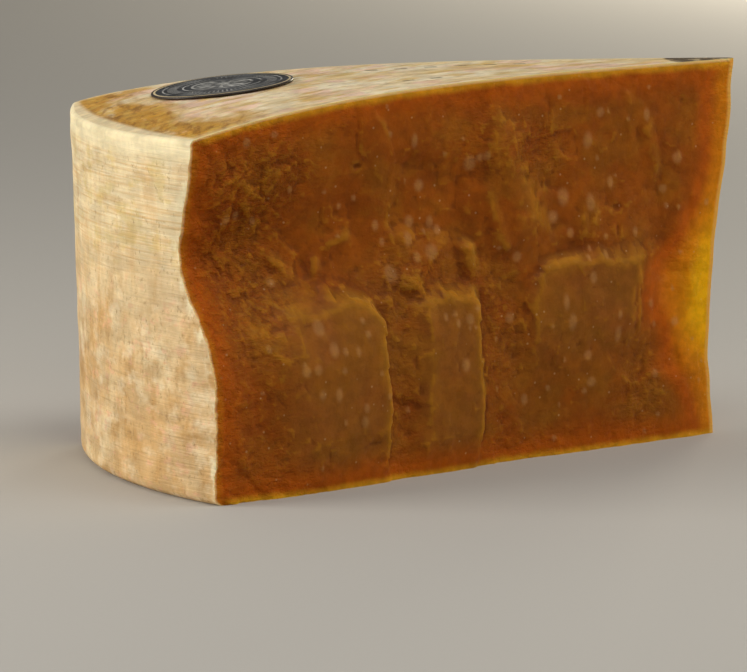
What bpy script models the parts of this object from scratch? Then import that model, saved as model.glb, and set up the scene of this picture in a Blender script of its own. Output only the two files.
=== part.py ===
"""A chunk of sbrinz, broken out of a large hard-cheese wheel.

The chunk is a wedge of the wheel standing on the wheel's flat face. Its curved rind is at -X, its thin
edge, which was the middle of the wheel, is at +X, and the shown broken face looks to -Y. The wheel's top
is crowned and droops to the rim. Both broken faces carry shell-like flakes, facets, folds and hollows.
A thin round label lies on the top rind near the rim. Metres, +Z up.
"""

import math

import bpy
import numpy as np

MM = 0.001

# The wheel
WHEEL_RADIUS = 261.8 * MM
WHEEL_HEIGHT = 150.0 * MM
CROWN_DROP = 15.0 * MM  # the top is this much lower at the rim than at the middle
CROWN_POWER = 3.9
SHOULDER_RADIUS = 2.2 * MM
FOOT_RADIUS = 4.0 * MM
RIM_FLARE = 3.0 * MM  # the rim stands out this much at its top edge
RIM_FLARE_DEPTH = 50.0 * MM
RIM_BOW = 4.5 * MM  # the rim bows out this much more than a round wheel, half-way between the breaks
RIM_BOW_POWER = 6.0  # how fast that bow dies away from the rim towards the middle

# The wedge
WEDGE_ANGLE = math.radians(31.5)
THIN_EDGE = 3.0 * MM  # width of the edge at the middle of the wheel
THIN_EDGE_BREAK = 11.5 * MM  # how far that edge is broken back low down
THIN_EDGE_BREAK_TOP = 138.0 * MM  # height where that starts
THIN_EDGE_BREAK_RUN = 105.0 * MM  # and the drop over which it grows
THIN_EDGE_TOE = 3.0 * MM  # the edge comes out again this much at the ground
THIN_EDGE_TOE_HEIGHT = 30.0 * MM
CLEAN_EDGE = 12.0 * MM  # the break runs straight this far below the top rind
FAR_CORNER_WEAR = 7.0 * MM  # the far break's corner at the rim is worn back this far
FAR_CORNER_REACH = 22.0 * MM

# The middle of the wheel in the shared frame, whose origin is under the middle of the chunk's box
MIDDLE_X = 132.91 * MM
MIDDLE_Y = 4.97 * MM

# The label
LABEL_RADIUS = 27.5 * MM
LABEL_THICKNESS = 0.7 * MM
LABEL_FROM_MIDDLE = 207.0 * MM
LABEL_ANGLE = math.radians(-6.5)  # from the middle of the wedge, towards the far break
LABEL_LIFT = 0.35 * MM  # over the rind, so that the two solids stay apart
LABEL_RINGS = 5
LABEL_SIDES = 56

# The mesh
COLUMNS = 150  # along each break
WALL_ROWS = 78
ROUND_ROWS = 5
CROSS = 36  # from break to break
CHEESE_TRIANGLES = 11400
FLAT_WITHIN = 0.1 * MM  # points this near the ground belong to the flat underside

# How crumbly the shown break is, from its smooth plates to its rim side
CRUMBLE_FROM = 205.0 * MM
CRUMBLE_RUN = 30.0 * MM
CHIP_SIZE = 9.0 * MM
CHIP_HEIGHT = 0.9 * MM
FACET_SIZE = 24.0 * MM
FACET_HEIGHT = 0.7 * MM
CUT_SLOPE = 0.45  # how steep the cut across a plate's corner is
CALM_AREA = 450.0  # plates and bowls of half sizes that multiply to more than this, in mm2, are smooth

# A flake, in mm and degrees: centre along the break from the thin edge and up, half sizes, turn, height,
# then how gently it rises at its rim side, its top, its thin side and its foot. An eleventh number is how
# much of its top corner is cut off, the corner towards the rim, or towards the thin edge if negative.
FRONT_FLAKES = (
    (208.5, 35.0, 32.5, 46.5, -4.0, 4.6, 24.0, 14.0, 2.4, 30.0, -12.0),  # broad plate low at the rim side
    (148.0, 31.0, 21.0, 42.5, 0.0, 4.2, 13.0, 8.0, 3.6, 24.0, 6.0),  # narrower plate beside it
    (131.6, 78.0, 5.2, 11.5, -15.0, 2.8, 4.0, 4.0, 4.6, 12.0),  # tongue
    (76.5, 50.5, 33.5, 32.5, 4.0, 3.8, 9.0, 7.0, 12.0, 34.0, 12.0),  # plate on the thin side
    (50.0, 56.0, 3.0, 17.0, 0.0, 1.1, 2.4, 6.0, 3.6, 8.0),  # rib near its thin side
    (74.0, 94.0, 8.0, 13.0, 2.0, 1.4, 5.0, 12.0, 6.0, 5.0),  # pane over it
    (119.0, 104.0, 18.0, 34.0, -12.0, 2.8, 24.0, 12.0, 15.0, 20.0),  # long plate that ends in a step
    (219.6, 85.4, 8.6, 4.4, 38.0, 1.7, 6.0, 3.8, 6.0, 4.6),  # leaf
    (192.5, 91.0, 10.5, 6.0, -16.0, 1.8, 7.0, 6.0, 7.0, 5.6),  # crag
    (202.0, 83.6, 4.8, 7.0, 6.0, 1.6, 3.6, 5.0, 4.6, 5.0),  # post under the crag
    (162.0, 76.0, 8.0, 7.0, 10.0, 2.0, 5.0, 6.0, 5.0, 4.0),
    (240.0, 112.0, 13.0, 17.0, -16.0, 1.2, 9.0, 10.0, 8.0, 8.0),
    (234.0, 60.0, 14.0, 9.0, 20.0, 1.2, 9.0, 7.0, 8.0, 5.0),
    (40.0, 82.0, 13.0, 30.0, -6.0, -1.5, 14.0, 12.0, 8.0, 12.0),
    (150.0, 106.0, 30.0, 22.0, 14.0, -2.4, 16.0, 12.0, 16.0, 10.0),  # smooth shallow bowl
    (184.5, 120.0, 2.8, 1.4, -16.0, -1.8, 2.0, 1.4, 2.0, 1.4),  # small holes
    (59.0, 95.0, 3.8, 2.2, -10.0, -1.2, 3.0, 2.0, 3.0, 2.0),
    (59.0, 86.0, 1.6, 3.4, 0.0, -1.0, 1.6, 2.0, 1.6, 2.0),
)
BACK_FLAKES = (
    (196.0, 84.0, 36.0, 30.0, 14.0, 4.6, 28.0, 10.0, 3.0, 26.0, -12.0),
    (132.0, 42.0, 30.0, 38.0, -14.0, 5.0, 7.0, 14.0, 26.0, 30.0, 14.0),
    (72.0, 86.0, 24.0, 31.0, 11.0, 3.4, 3.0, 14.0, 22.0, 26.0, 9.0),
    (220.0, 28.0, 26.0, 22.0, 20.0, -4.0, 18.0, 14.0, 16.0, 14.0),
    (152.0, 118.0, 22.0, 9.0, -20.0, 2.6, 16.0, 7.0, 10.0, 3.0),
    (100.0, 22.0, 14.0, 16.0, 12.0, 2.4, 4.0, 12.0, 14.0, 12.0),
    (48.0, 32.0, 16.0, 20.0, -15.0, 2.2, 5.0, 12.0, 14.0, 14.0),
    (178.0, 34.0, 11.0, 15.0, 25.0, -2.4, 9.0, 8.0, 9.0, 9.0),
)
# A fold: start and end on the break, half width and height, all in mm.
FRONT_FOLDS = (
    (118.0, 142.0, 103.0, 80.0, 8.0, 2.0),
    (126.0, 110.0, 116.0, 78.0, 4.0, 1.4),
    (96.0, 116.0, 88.0, 84.0, 6.0, -1.2),
    (134.0, 106.0, 125.0, 80.0, 3.4, 0.9),
    (44.0, 132.0, 39.0, 100.0, 3.2, 1.0),
    (41.0, 68.0, 48.0, 34.0, 3.2, 1.0),
)
BACK_FOLDS = (
    (210.0, 60.0, 160.0, 20.0, 5.0, -3.0),
    (118.0, 128.0, 92.0, 96.0, 5.0, 2.6),
)


def ease(value):
    """Smooth step from 0 to 1."""
    t = np.clip(value, 0.0, 1.0)
    return t * t * (3.0 - 2.0 * t)


def crisp(value):
    """Rise from 0 to 1 with a soft foot and a sharp top edge."""
    return np.clip(value, 0.0, 1.0) ** 1.5


def patches(u, v, cell, seed):
    """Smooth noise from -1 to 1 with one random value per corner of a square grid."""
    table = np.random.default_rng(seed).uniform(-1.0, 1.0, (64, 64))
    x, y = u / cell + 17.0, v / cell + 17.0
    i, j = np.floor(x).astype(int), np.floor(y).astype(int)
    s, t = ease(x - i), ease(y - j)
    i, j = i % 63, j % 63
    low = table[i, j] * (1.0 - s) + table[i + 1, j] * s
    high = table[i, j + 1] * (1.0 - s) + table[i + 1, j + 1] * s
    return low * (1.0 - t) + high * t


def flake(u, v, row):
    """Height of one flake over the break: a plate whose four sides rise each over its own distance."""
    along, up, half_u, half_v, turn, height, rim_side, top, thin_side, foot, corner = (*row, 0.0)[:11]
    c, s = math.cos(math.radians(turn)), math.sin(math.radians(turn))
    x = (u / MM - along) * c + (v / MM - up) * s
    y = (v / MM - up) * c - (u / MM - along) * s
    rise = crisp((half_u - x) / rim_side) * crisp((half_u + x) / thin_side)
    rise = rise * crisp((half_v - y) / top) * crisp((half_v + y) / foot)
    if corner:
        inward = CUT_SLOPE * (half_u - math.copysign(1.0, corner) * x) + half_v - y
        rise = rise * crisp((inward - abs(corner)) / (0.6 * top))
    return height * MM * rise


def calm(u, v, flakes):
    """How much of any large plate or bowl each point is in, from 0 to 1."""
    large = [row for row in flakes if row[2] * row[3] > CALM_AREA]
    return np.max([flake(u, v, row) / (row[5] * MM) for row in large], axis=0)


def chips(u, v, size, height, seed):
    """Small facets: scattered points each have a tilted plane, and the nearest one counts."""
    table = np.random.default_rng(seed).uniform(-1.0, 1.0, (64, 64, 5))
    column, line = np.floor(u / size), np.floor(v / size)
    total, weights = np.zeros_like(u), np.zeros_like(u)
    for i in (-1, 0, 1):
        for j in (-1, 0, 1):
            own = table[(column + i).astype(int) % 64, (line + j).astype(int) % 64]
            x = u / size - (column + i + 0.5 + 0.42 * own[..., 0])
            y = v / size - (line + j + 0.5 + 0.42 * own[..., 1])
            weight = np.exp(-60.0 * (x * x + y * y))
            total += weight * (0.5 * own[..., 2] + 0.6 * own[..., 3] * x + 0.6 * own[..., 4] * y)
            weights += weight
    return height * total / weights


def fold(u, v, row):
    """Height of one long fold over the break."""
    u0, v0, u1, v1, half, height = (value * MM for value in row)
    length = math.hypot(u1 - u0, v1 - v0)
    du, dv = (u1 - u0) / length, (v1 - v0) / length
    along = ((u - u0) * du + (v - v0) * dv) / length
    across = ((v - v0) * du - (u - u0) * dv) / half
    return height * np.exp(-across * across) * ease(along * 4.0) * ease((1.0 - along) * 4.0)


def relief(u, v, flakes, folds, seed):
    """Everything the break's small forms add, with the outlines of the larger ones made ragged."""
    off_u = 2.2 * MM * patches(u, v, 15.0 * MM, seed) + chips(u, v, 7.0 * MM, 1.7 * MM, seed + 1)
    off_v = 2.2 * MM * patches(u, v, 16.0 * MM, seed + 2) + chips(u, v, 7.0 * MM, 1.7 * MM, seed + 3)
    ragged_u, ragged_v = u + off_u, v + off_v
    smooth = calm(ragged_u, ragged_v, flakes)
    out = 0.9 * MM * patches(u, v, 27.0 * MM, seed + 4) + 0.2 * MM * patches(u, v, 11.0 * MM, seed + 5)
    out = out + chips(ragged_u, ragged_v, FACET_SIZE, FACET_HEIGHT, seed + 7)
    out = out * (1.0 - 0.75 * smooth)
    near_rim = ease((u - CRUMBLE_FROM) / CRUMBLE_RUN)
    crumbly = 0.15 + 0.6 * near_rim + 0.4 * patches(u, v, 24.0 * MM, seed + 21)
    crumbly = np.clip(crumbly, 0.0, 1.0) * (1.0 - 0.6 * calm(u, v, flakes))
    out = out + crumbly * 0.3 * MM * patches(u, v, 11.0 * MM, seed + 5)
    out = out + crumbly * 0.25 * MM * patches(u, v, 5.5 * MM, seed + 6)
    out = out + crumbly * chips(ragged_u, ragged_v, CHIP_SIZE, CHIP_HEIGHT, seed + 8)
    for row in flakes:
        loose = min(1.0, (min(row[2], row[3]) / 14.0) ** 0.8)
        out = out + flake(u + loose * off_u, v + loose * off_v, row)
    for row in folds:
        loose = min(1.0, row[4] / 6.0)
        out = out + fold(u + loose * off_u, v + loose * off_v, row)
    return out


def front_break(u, v):
    """How far the shown break stands out from the straight wedge side."""
    low = ease((88.0 * MM - v) / (44.0 * MM)) * (0.12 + 0.88 * ease((u - 90.0 * MM) / (165.0 * MM)))
    hollow = np.exp(-(((v - 92.0 * MM) / (24.0 * MM)) ** 2)) * ease((u - 130.0 * MM) / (125.0 * MM))
    return 11.0 * MM * low - 10.5 * MM * hollow + relief(u, v, FRONT_FLAKES, FRONT_FOLDS, 11)


def back_break(u, v):
    """How far the far break stands out from the straight wedge side."""
    wave = 4.5 * MM * np.sin((v - 60.0 * MM) / (42.0 * MM)) * ease((u - 60.0 * MM) / (150.0 * MM))
    return wave + relief(u, v, BACK_FLAKES, BACK_FOLDS, 41)


def crown(radius):
    """Height of the top rind at a distance from the middle of the wheel."""
    return WHEEL_HEIGHT - CROWN_DROP * (radius / WHEEL_RADIUS) ** CROWN_POWER


def rim_profile():
    """Radius and height up the rim, from the foot's rounding to the shoulder's."""
    droop = math.atan(CROWN_DROP * CROWN_POWER / WHEEL_RADIUS)
    reach = math.pi / 2.0 - droop
    top_radius = WHEEL_RADIUS - SHOULDER_RADIUS * (1.0 - math.cos(reach))
    shoulder_z = crown(top_radius) - SHOULDER_RADIUS * math.sin(reach)

    def wall(z):
        return WHEEL_RADIUS - RIM_FLARE * (1.0 - math.exp(-(shoulder_z - z) / RIM_FLARE_DEPTH))

    points = []
    foot_radius = wall(FOOT_RADIUS) - FOOT_RADIUS
    for step in range(ROUND_ROWS):
        angle = math.pi / 2.0 * step / ROUND_ROWS
        points.append((foot_radius + FOOT_RADIUS * math.sin(angle), FOOT_RADIUS * (1.0 - math.cos(angle))))
    for step in range(WALL_ROWS):
        z = FOOT_RADIUS + (shoulder_z - FOOT_RADIUS) * step / WALL_ROWS
        points.append((wall(z), z))
    for step in range(ROUND_ROWS + 1):
        angle = reach * step / ROUND_ROWS
        radius = WHEEL_RADIUS - SHOULDER_RADIUS * (1.0 - math.cos(angle))
        points.append((radius, shoulder_z + SHOULDER_RADIUS * math.sin(angle)))
    return np.array(points)


def break_sheet(profile, side):
    """The grid of points of one break: side is 1 for the shown one and -1 for the far one."""
    share = profile[:, 1] / profile[-1, 1]
    along = np.linspace(0.0, 1.0, COLUMNS + 1)
    low = ease((THIN_EDGE_BREAK_TOP - profile[:, 1]) / THIN_EDGE_BREAK_RUN)
    toe = THIN_EDGE_TOE * ease((THIN_EDGE_TOE_HEIGHT - profile[:, 1]) / THIN_EDGE_TOE_HEIGHT)
    inner = THIN_EDGE_BREAK * low - toe + 0.9 * MM * patches(profile[:, 1], profile[:, 1], 14.0 * MM, 5)
    inner = np.where(share > 0.97, inner * (1.0 - share) / 0.03, inner)
    u = inner[None, :] + along[:, None] * (profile[:, 0] - inner)[None, :]
    top = crown(along * profile[-1, 0])
    z = share[None, :] * top[:, None]
    out = (front_break if side > 0 else back_break)(u, z)
    out = out * ease((top[:, None] - z) / CLEAN_EDGE)
    near_edge = ease(u / (26.0 * MM))
    out = out * near_edge - (1.0 - near_edge) * 0.9 * MM * low[None, :]
    out = out + THIN_EDGE / 2.0
    if side < 0:
        worn = np.clip((u - WHEEL_RADIUS + FAR_CORNER_REACH) / FAR_CORNER_REACH, 0.0, 1.0)
        out = out - FAR_CORNER_WEAR * worn ** 3
    u = np.minimum(u, np.sqrt(np.maximum(profile[None, :, 0] ** 2 - out ** 2, 0.0)))
    half = WEDGE_ANGLE / 2.0
    x = -u * math.cos(half) + out * math.sin(half)
    y = -side * (u * math.sin(half) + out * math.cos(half))
    return np.stack([x, y, z], axis=-1)


def across(front, back, share, bow):
    """Points between the two breaks: straight near the thin edge, round and bowed out at the rim."""
    t = np.linspace(0.0, 1.0, CROSS + 1)[:, None]
    flat = front[None, :] * (1.0 - t) + back[None, :] * t
    radii = [math.hypot(p[0], p[1]) for p in (front, back)]
    turns = [math.atan2(p[1], -p[0]) for p in (front, back)]
    radius = radii[0] * (1.0 - t) + radii[1] * t + bow * 4.0 * t * (1.0 - t)
    turn = turns[0] * (1.0 - t) + turns[1] * t
    bent = np.concatenate([-radius * np.cos(turn), radius * np.sin(turn), flat[:, 2:]], axis=1)
    return flat * (1.0 - share) + bent * share


def grid_faces(index):
    """Quads of a grid of vertex numbers."""
    faces = []
    for i in range(index.shape[0] - 1):
        for j in range(index.shape[1] - 1):
            faces.append((index[i, j], index[i + 1, j], index[i + 1, j + 1], index[i, j + 1]))
    return faces


def cheese_mesh():
    """The wedge as six grids that share their borders."""
    profile = rim_profile()
    front = break_sheet(profile, 1)
    back = break_sheet(profile, -1)
    rows = profile.shape[0]
    points = []
    number = {}

    def add(key, point):
        if key not in number:
            number[key] = len(points)
            points.append(tuple(float(value) for value in point))
        return number[key]

    for i in range(COLUMNS + 1):
        for k in range(rows):
            add((i, 0, k), front[i, k])
            add((i, CROSS, k), back[i, k])
    for k in range(rows):
        for j, point in enumerate(across(front[0, k], back[0, k], 0.0, 0.0)):
            add((0, j, k), point)
        line = across(front[COLUMNS, k], back[COLUMNS, k], 1.0, RIM_BOW)
        t = np.linspace(0.0, 1.0, CROSS + 1)
        top = profile[-1, 0]
        line[:, 2] *= crown(top + RIM_BOW * 4.0 * t * (1.0 - t)) / crown(top)
        for j, point in enumerate(line):
            add((COLUMNS, j, k), point)
    for i in range(1, COLUMNS):
        bow = RIM_BOW * (i / COLUMNS) ** RIM_BOW_POWER
        for k in (0, rows - 1):
            line = across(front[i, k], back[i, k], float(ease(i / COLUMNS * 1.5)), bow)
            if k:
                line[:, 2] = crown(np.hypot(line[:, 0], line[:, 1]))
            for j, point in enumerate(line):
                add((i, j, k), point)

    def sheet(keys):
        return np.array([[number[key] for key in line] for line in keys])

    every_i, every_j, every_k = range(COLUMNS + 1), range(CROSS + 1), range(rows)
    faces = grid_faces(sheet([[(i, 0, k) for i in every_i] for k in every_k]))
    faces += grid_faces(sheet([[(i, CROSS, k) for k in every_k] for i in every_i]))
    faces += grid_faces(sheet([[(COLUMNS, j, k) for j in every_j] for k in every_k]))
    faces += grid_faces(sheet([[(0, j, k) for k in every_k] for j in every_j]))
    faces += grid_faces(sheet([[(i, j, rows - 1) for i in every_i] for j in every_j]))
    faces += grid_faces(sheet([[(i, j, 0) for j in every_j] for i in every_i]))
    return points, faces


def label_mesh():
    """A thin disc that follows the crown of the top rind."""
    middle = np.array([-math.cos(LABEL_ANGLE), -math.sin(LABEL_ANGLE)]) * LABEL_FROM_MIDDLE
    points = []
    for layer in (LABEL_LIFT, LABEL_LIFT + LABEL_THICKNESS):
        for ring in range(LABEL_RINGS + 1):
            for side in range(1 if ring == 0 else LABEL_SIDES):
                angle = 2.0 * math.pi * side / LABEL_SIDES
                reach = LABEL_RADIUS * ring / LABEL_RINGS
                x = middle[0] + reach * math.cos(angle)
                y = middle[1] + reach * math.sin(angle)
                points.append((x, y, float(crown(math.hypot(x, y))) + layer))
    layer_size = 1 + LABEL_RINGS * LABEL_SIDES

    def number(layer, ring, side):
        if ring == 0:
            return layer * layer_size
        return layer * layer_size + 1 + (ring - 1) * LABEL_SIDES + side % LABEL_SIDES

    faces = []
    for side in range(LABEL_SIDES):
        faces.append((number(1, 0, 0), number(1, 1, side), number(1, 1, side + 1)))
        faces.append((number(0, 0, 0), number(0, 1, side + 1), number(0, 1, side)))
        for ring in range(1, LABEL_RINGS):
            top = [number(1, ring, side), number(1, ring + 1, side), number(1, ring + 1, side + 1)]
            faces.append((*top, number(1, ring, side + 1)))
            low = [number(0, ring, side + 1), number(0, ring + 1, side + 1), number(0, ring + 1, side)]
            faces.append((*low, number(0, ring, side)))
        last = LABEL_RINGS
        faces.append((number(0, last, side), number(0, last, side + 1), number(1, last, side + 1)))
        faces.append((number(0, last, side), number(1, last, side + 1), number(1, last, side)))
    return points, faces


def finish(name, colour, roughness):
    """A plain material."""
    material = bpy.data.materials.new(name)
    material.use_nodes = True
    shader = material.node_tree.nodes["Principled BSDF"]
    shader.inputs["Base Color"].default_value = (*colour, 1.0)
    shader.inputs["Roughness"].default_value = roughness
    shader.inputs["Metallic"].default_value = 0.0
    material.diffuse_color = (*colour, 1.0)
    return material


def place(name, mesh_data, material):
    """A named object from points and faces, moved into the shared frame."""
    points, faces = mesh_data
    moved = [(x + MIDDLE_X, y + MIDDLE_Y, z) for x, y, z in points]
    mesh = bpy.data.meshes.new(name)
    mesh.from_pydata(moved, [], [tuple(int(n) for n in face) for face in faces])
    mesh.update()
    mesh.materials.append(material)
    obj = bpy.data.objects.new(name, mesh)
    bpy.context.scene.collection.objects.link(obj)
    return obj


def thin_out(obj, triangles):
    """Leaves about this many triangles, most where the break is craggy, and a truly flat underside."""
    before = sum(len(polygon.vertices) - 2 for polygon in obj.data.polygons)
    fewer = obj.modifiers.new("fewer_faces", "DECIMATE")
    fewer.decimate_type = "COLLAPSE"
    fewer.ratio = triangles / before
    fewer.use_collapse_triangulate = True
    graph = bpy.context.evaluated_depsgraph_get()
    reduced = bpy.data.meshes.new_from_object(obj.evaluated_get(graph))
    obj.modifiers.clear()
    obj.data = reduced
    for vertex in reduced.vertices:
        if vertex.co.z < FLAT_WITHIN:
            vertex.co.z = 0.0


def main():
    for old in list(bpy.data.objects):
        bpy.data.objects.remove(old, do_unlink=True)

    paste = finish("amber_paste", (0.62, 0.33, 0.09), 0.55)
    cheese = place("cheese", cheese_mesh(), paste)
    thin_out(cheese, CHEESE_TRIANGLES)

    slate = finish("slate_label", (0.06, 0.065, 0.075), 0.6)
    place("label", label_mesh(), slate)


main()
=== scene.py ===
"""Dresses a chunk of sbrinz, a wedge broken out of a large hard-cheese wheel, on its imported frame.

The chunk stands on the wheel's flat face. Its rind is at -X, the thin edge that was the middle of the wheel
is at +X, and the shown broken side looks to -Y. Lengths are in metres unless a name ends in _mm.
"""

from __future__ import annotations

import logging
import math
from dataclasses import dataclass, field
from enum import Enum
from typing import Any

import bpy
import numpy as np
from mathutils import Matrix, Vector


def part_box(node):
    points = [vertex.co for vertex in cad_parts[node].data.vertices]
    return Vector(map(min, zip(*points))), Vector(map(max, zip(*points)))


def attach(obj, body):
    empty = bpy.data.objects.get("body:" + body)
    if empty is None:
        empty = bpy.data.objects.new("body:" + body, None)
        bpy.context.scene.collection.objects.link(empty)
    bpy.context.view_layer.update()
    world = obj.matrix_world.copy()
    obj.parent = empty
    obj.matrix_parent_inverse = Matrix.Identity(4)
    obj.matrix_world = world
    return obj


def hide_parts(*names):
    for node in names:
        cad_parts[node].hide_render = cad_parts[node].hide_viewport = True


MM = 0.001
GRID = 64
GRID_SHIFT = 17.0
LOG = logging.getLogger("sbrinz")

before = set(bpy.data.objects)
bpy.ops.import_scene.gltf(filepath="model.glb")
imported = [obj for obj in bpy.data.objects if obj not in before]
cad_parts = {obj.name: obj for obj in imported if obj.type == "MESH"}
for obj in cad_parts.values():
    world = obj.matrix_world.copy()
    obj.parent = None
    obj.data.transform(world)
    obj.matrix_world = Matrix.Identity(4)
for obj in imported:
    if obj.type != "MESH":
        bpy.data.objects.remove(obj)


# -------------------- Small helpers --------------------


def hex_linear(code: str) -> tuple[float, float, float, float]:
    """Turns an sRGB hex colour into linear RGBA.

    Args:
        code: Six hex digits, with or without a leading hash.

    Returns:
        The linear colour with alpha 1.
    """
    digits = code.lstrip("#")
    values = [int(digits[i : i + 2], 16) / 255.0 for i in (0, 2, 4)]
    linear = [v / 12.92 if v <= 0.04045 else ((v + 0.055) / 1.055) ** 2.4 for v in values]
    return linear[0], linear[1], linear[2], 1.0


def add_node(
    tree: bpy.types.NodeTree,
    kind: str,
    inputs: dict[Any, Any] | None = None,
    **settings: Any,
) -> Any:
    """Adds a node with its settings, values and links.

    Args:
        tree: The node tree to add to.
        kind: The node's bl_idname.
        inputs: Input name or number to a value, or to an output socket to link from.
        settings: Properties of the node itself.

    Returns:
        The new node.
    """
    node = tree.nodes.new(kind)
    for name, value in settings.items():
        setattr(node, name, value)
    for key, value in (inputs or {}).items():
        socket = node.inputs[key]
        if isinstance(value, bpy.types.NodeSocket):
            tree.links.new(value, socket)
        else:
            socket.default_value = value
    return node


def new_object(name: str, data: Any) -> bpy.types.Object:
    """Adds an object to the scene.

    Args:
        name: The object's name.
        data: Its mesh, light or camera.

    Returns:
        The new object.
    """
    made = bpy.data.objects.new(name, data)
    bpy.context.scene.collection.objects.link(made)
    return made


def ease(value: np.ndarray | float) -> np.ndarray:
    """Smooth step from 0 to 1."""
    t = np.clip(value, 0.0, 1.0)
    return t * t * (3.0 - 2.0 * t)


def crisp(value: np.ndarray | float) -> np.ndarray:
    """Rise from 0 to 1 with a soft foot and a sharp top edge."""
    return np.clip(value, 0.0, 1.0) ** 1.5


def patches(u: np.ndarray, v: np.ndarray, cell: float, seed: int) -> np.ndarray:
    """Smooth noise from -1 to 1 with one random value per corner of a square grid.

    Args:
        u: First coordinate of each point.
        v: Second coordinate of each point.
        cell: Side of one square of the grid.
        seed: Seed of the random values.

    Returns:
        The noise at each point.
    """
    table = np.random.default_rng(seed).uniform(-1.0, 1.0, (GRID, GRID))
    x, y = u / cell + GRID_SHIFT, v / cell + GRID_SHIFT
    i, j = np.floor(x).astype(int), np.floor(y).astype(int)
    s, t = ease(x - i), ease(y - j)
    i, j = i % (GRID - 1), j % (GRID - 1)
    low = table[i, j] * (1.0 - s) + table[i + 1, j] * s
    high = table[i, j + 1] * (1.0 - s) + table[i + 1, j + 1] * s
    return low * (1.0 - t) + high * t


def chips(u: np.ndarray, v: np.ndarray, size: float, height: float, seed: int) -> np.ndarray:
    """Small facets: scattered points each have a tilted plane, and the nearest one counts.

    Args:
        u: First coordinate of each point.
        v: Second coordinate of each point.
        size: Distance between the scattered points.
        height: Height of the facets.
        seed: Seed of the scattered points.

    Returns:
        The facets' height at each point.
    """
    scatter, sharpness, rise, tilt = 0.42, 60.0, 0.5, 0.6
    table = np.random.default_rng(seed).uniform(-1.0, 1.0, (GRID, GRID, 5))
    column, line = np.floor(u / size), np.floor(v / size)
    total, weights = np.zeros_like(u), np.zeros_like(u)
    for i in (-1, 0, 1):
        for j in (-1, 0, 1):
            own = table[(column + i).astype(int) % GRID, (line + j).astype(int) % GRID]
            x = u / size - (column + i + 0.5 + scatter * own[..., 0])
            y = v / size - (line + j + 0.5 + scatter * own[..., 1])
            weight = np.exp(-sharpness * (x * x + y * y))
            total += weight * (rise * own[..., 2] + tilt * own[..., 3] * x + tilt * own[..., 4] * y)
            weights += weight
    return height * total / weights


def edges_of(line: np.ndarray) -> list[tuple[int, int]]:
    """The edges along a line of numbered points."""
    return list(zip(line[:-1].tolist(), line[1:].tolist()))


def blurred(grid: np.ndarray, steps: int) -> np.ndarray:
    """Smooths a grid of heights, so that what stands proud of its neighbours can be told.

    Args:
        grid: The heights.
        steps: How often each is averaged with its four neighbours.

    Returns:
        The smooth heights.
    """
    out = grid
    for _ in range(steps):
        wide = np.pad(out, 1, mode="edge")
        out = (wide[:-2, 1:-1] + wide[2:, 1:-1] + wide[1:-1, :-2] + wide[1:-1, 2:] + 2.0 * out) / 6.0
    return out


def graded(cells: int, fine_share: float, fine_cells: int) -> np.ndarray:
    """Steps from 0 to 1 that are even, but finer at both ends.

    Args:
        cells: Number of steps.
        fine_share: How much of the length at each end is fine.
        fine_cells: Steps in each fine end.

    Returns:
        The cells + 1 places.
    """
    start = np.linspace(0.0, fine_share, fine_cells + 1)
    middle = np.linspace(fine_share, 1.0 - fine_share, cells - 2 * fine_cells + 1)
    return np.concatenate([start[:-1], middle, 1.0 - start[::-1][1:]])


# -------------------- Sizes of the wheel, the wedge and the broken sides --------------------


class Side(Enum):
    """The two broken sides of the wedge."""

    SHOWN = 1
    FAR = -1


@dataclass(frozen=True)
class Wheel:
    """The round wheel that the chunk comes from."""

    radius: float = 261.8 * MM
    height: float = 150.0 * MM
    crown_drop: float = 15.0 * MM
    crown_power: float = 3.9
    shoulder: float = 2.2 * MM
    foot: float = 4.0 * MM
    flare: float = 3.0 * MM
    flare_depth: float = 50.0 * MM
    bow: float = 4.5 * MM
    bow_power: float = 6.0
    wall_ends: tuple[float, int] = (0.06, 10)
    middle_x: float = 132.91 * MM
    middle_y: float = 4.97 * MM

    def crown(self, radius: np.ndarray | float) -> np.ndarray | float:
        """Height of the top rind at a distance from the middle of the wheel."""
        return self.height - self.crown_drop * (radius / self.radius) ** self.crown_power

    def rim_profile(self, wall_rows: int, round_rows: int) -> np.ndarray:
        """Works out the rim's outline from the foot's rounding up to the shoulder's.

        Args:
            wall_rows: Steps up the straight part.
            round_rows: Steps round the foot and round the shoulder.

        Returns:
            Radius and height of each point, from the ground up.
        """
        droop = math.atan(self.crown_drop * self.crown_power / self.radius)
        reach = math.pi / 2.0 - droop
        top_radius = self.radius - self.shoulder * (1.0 - math.cos(reach))
        shoulder_z = self.crown(top_radius) - self.shoulder * math.sin(reach)

        def wall(z: np.ndarray | float) -> np.ndarray | float:
            """Radius of the wall at a height."""
            return self.radius - self.flare * (1.0 - np.exp(-(shoulder_z - z) / self.flare_depth))

        turn = np.linspace(0.0, math.pi / 2.0, round_rows + 1)[:-1]
        foot_radius = wall(self.foot) - self.foot
        low = np.stack([foot_radius + self.foot * np.sin(turn), self.foot * (1.0 - np.cos(turn))], axis=1)
        z = self.foot + (shoulder_z - self.foot) * graded(wall_rows, *self.wall_ends)[:-1]
        straight = np.stack([wall(z), z], axis=1)
        turn = np.linspace(0.0, reach, round_rows + 1)
        radius = self.radius - self.shoulder * (1.0 - np.cos(turn))
        top = np.stack([radius, shoulder_z + self.shoulder * np.sin(turn)], axis=1)
        return np.concatenate([low, straight, top])


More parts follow.
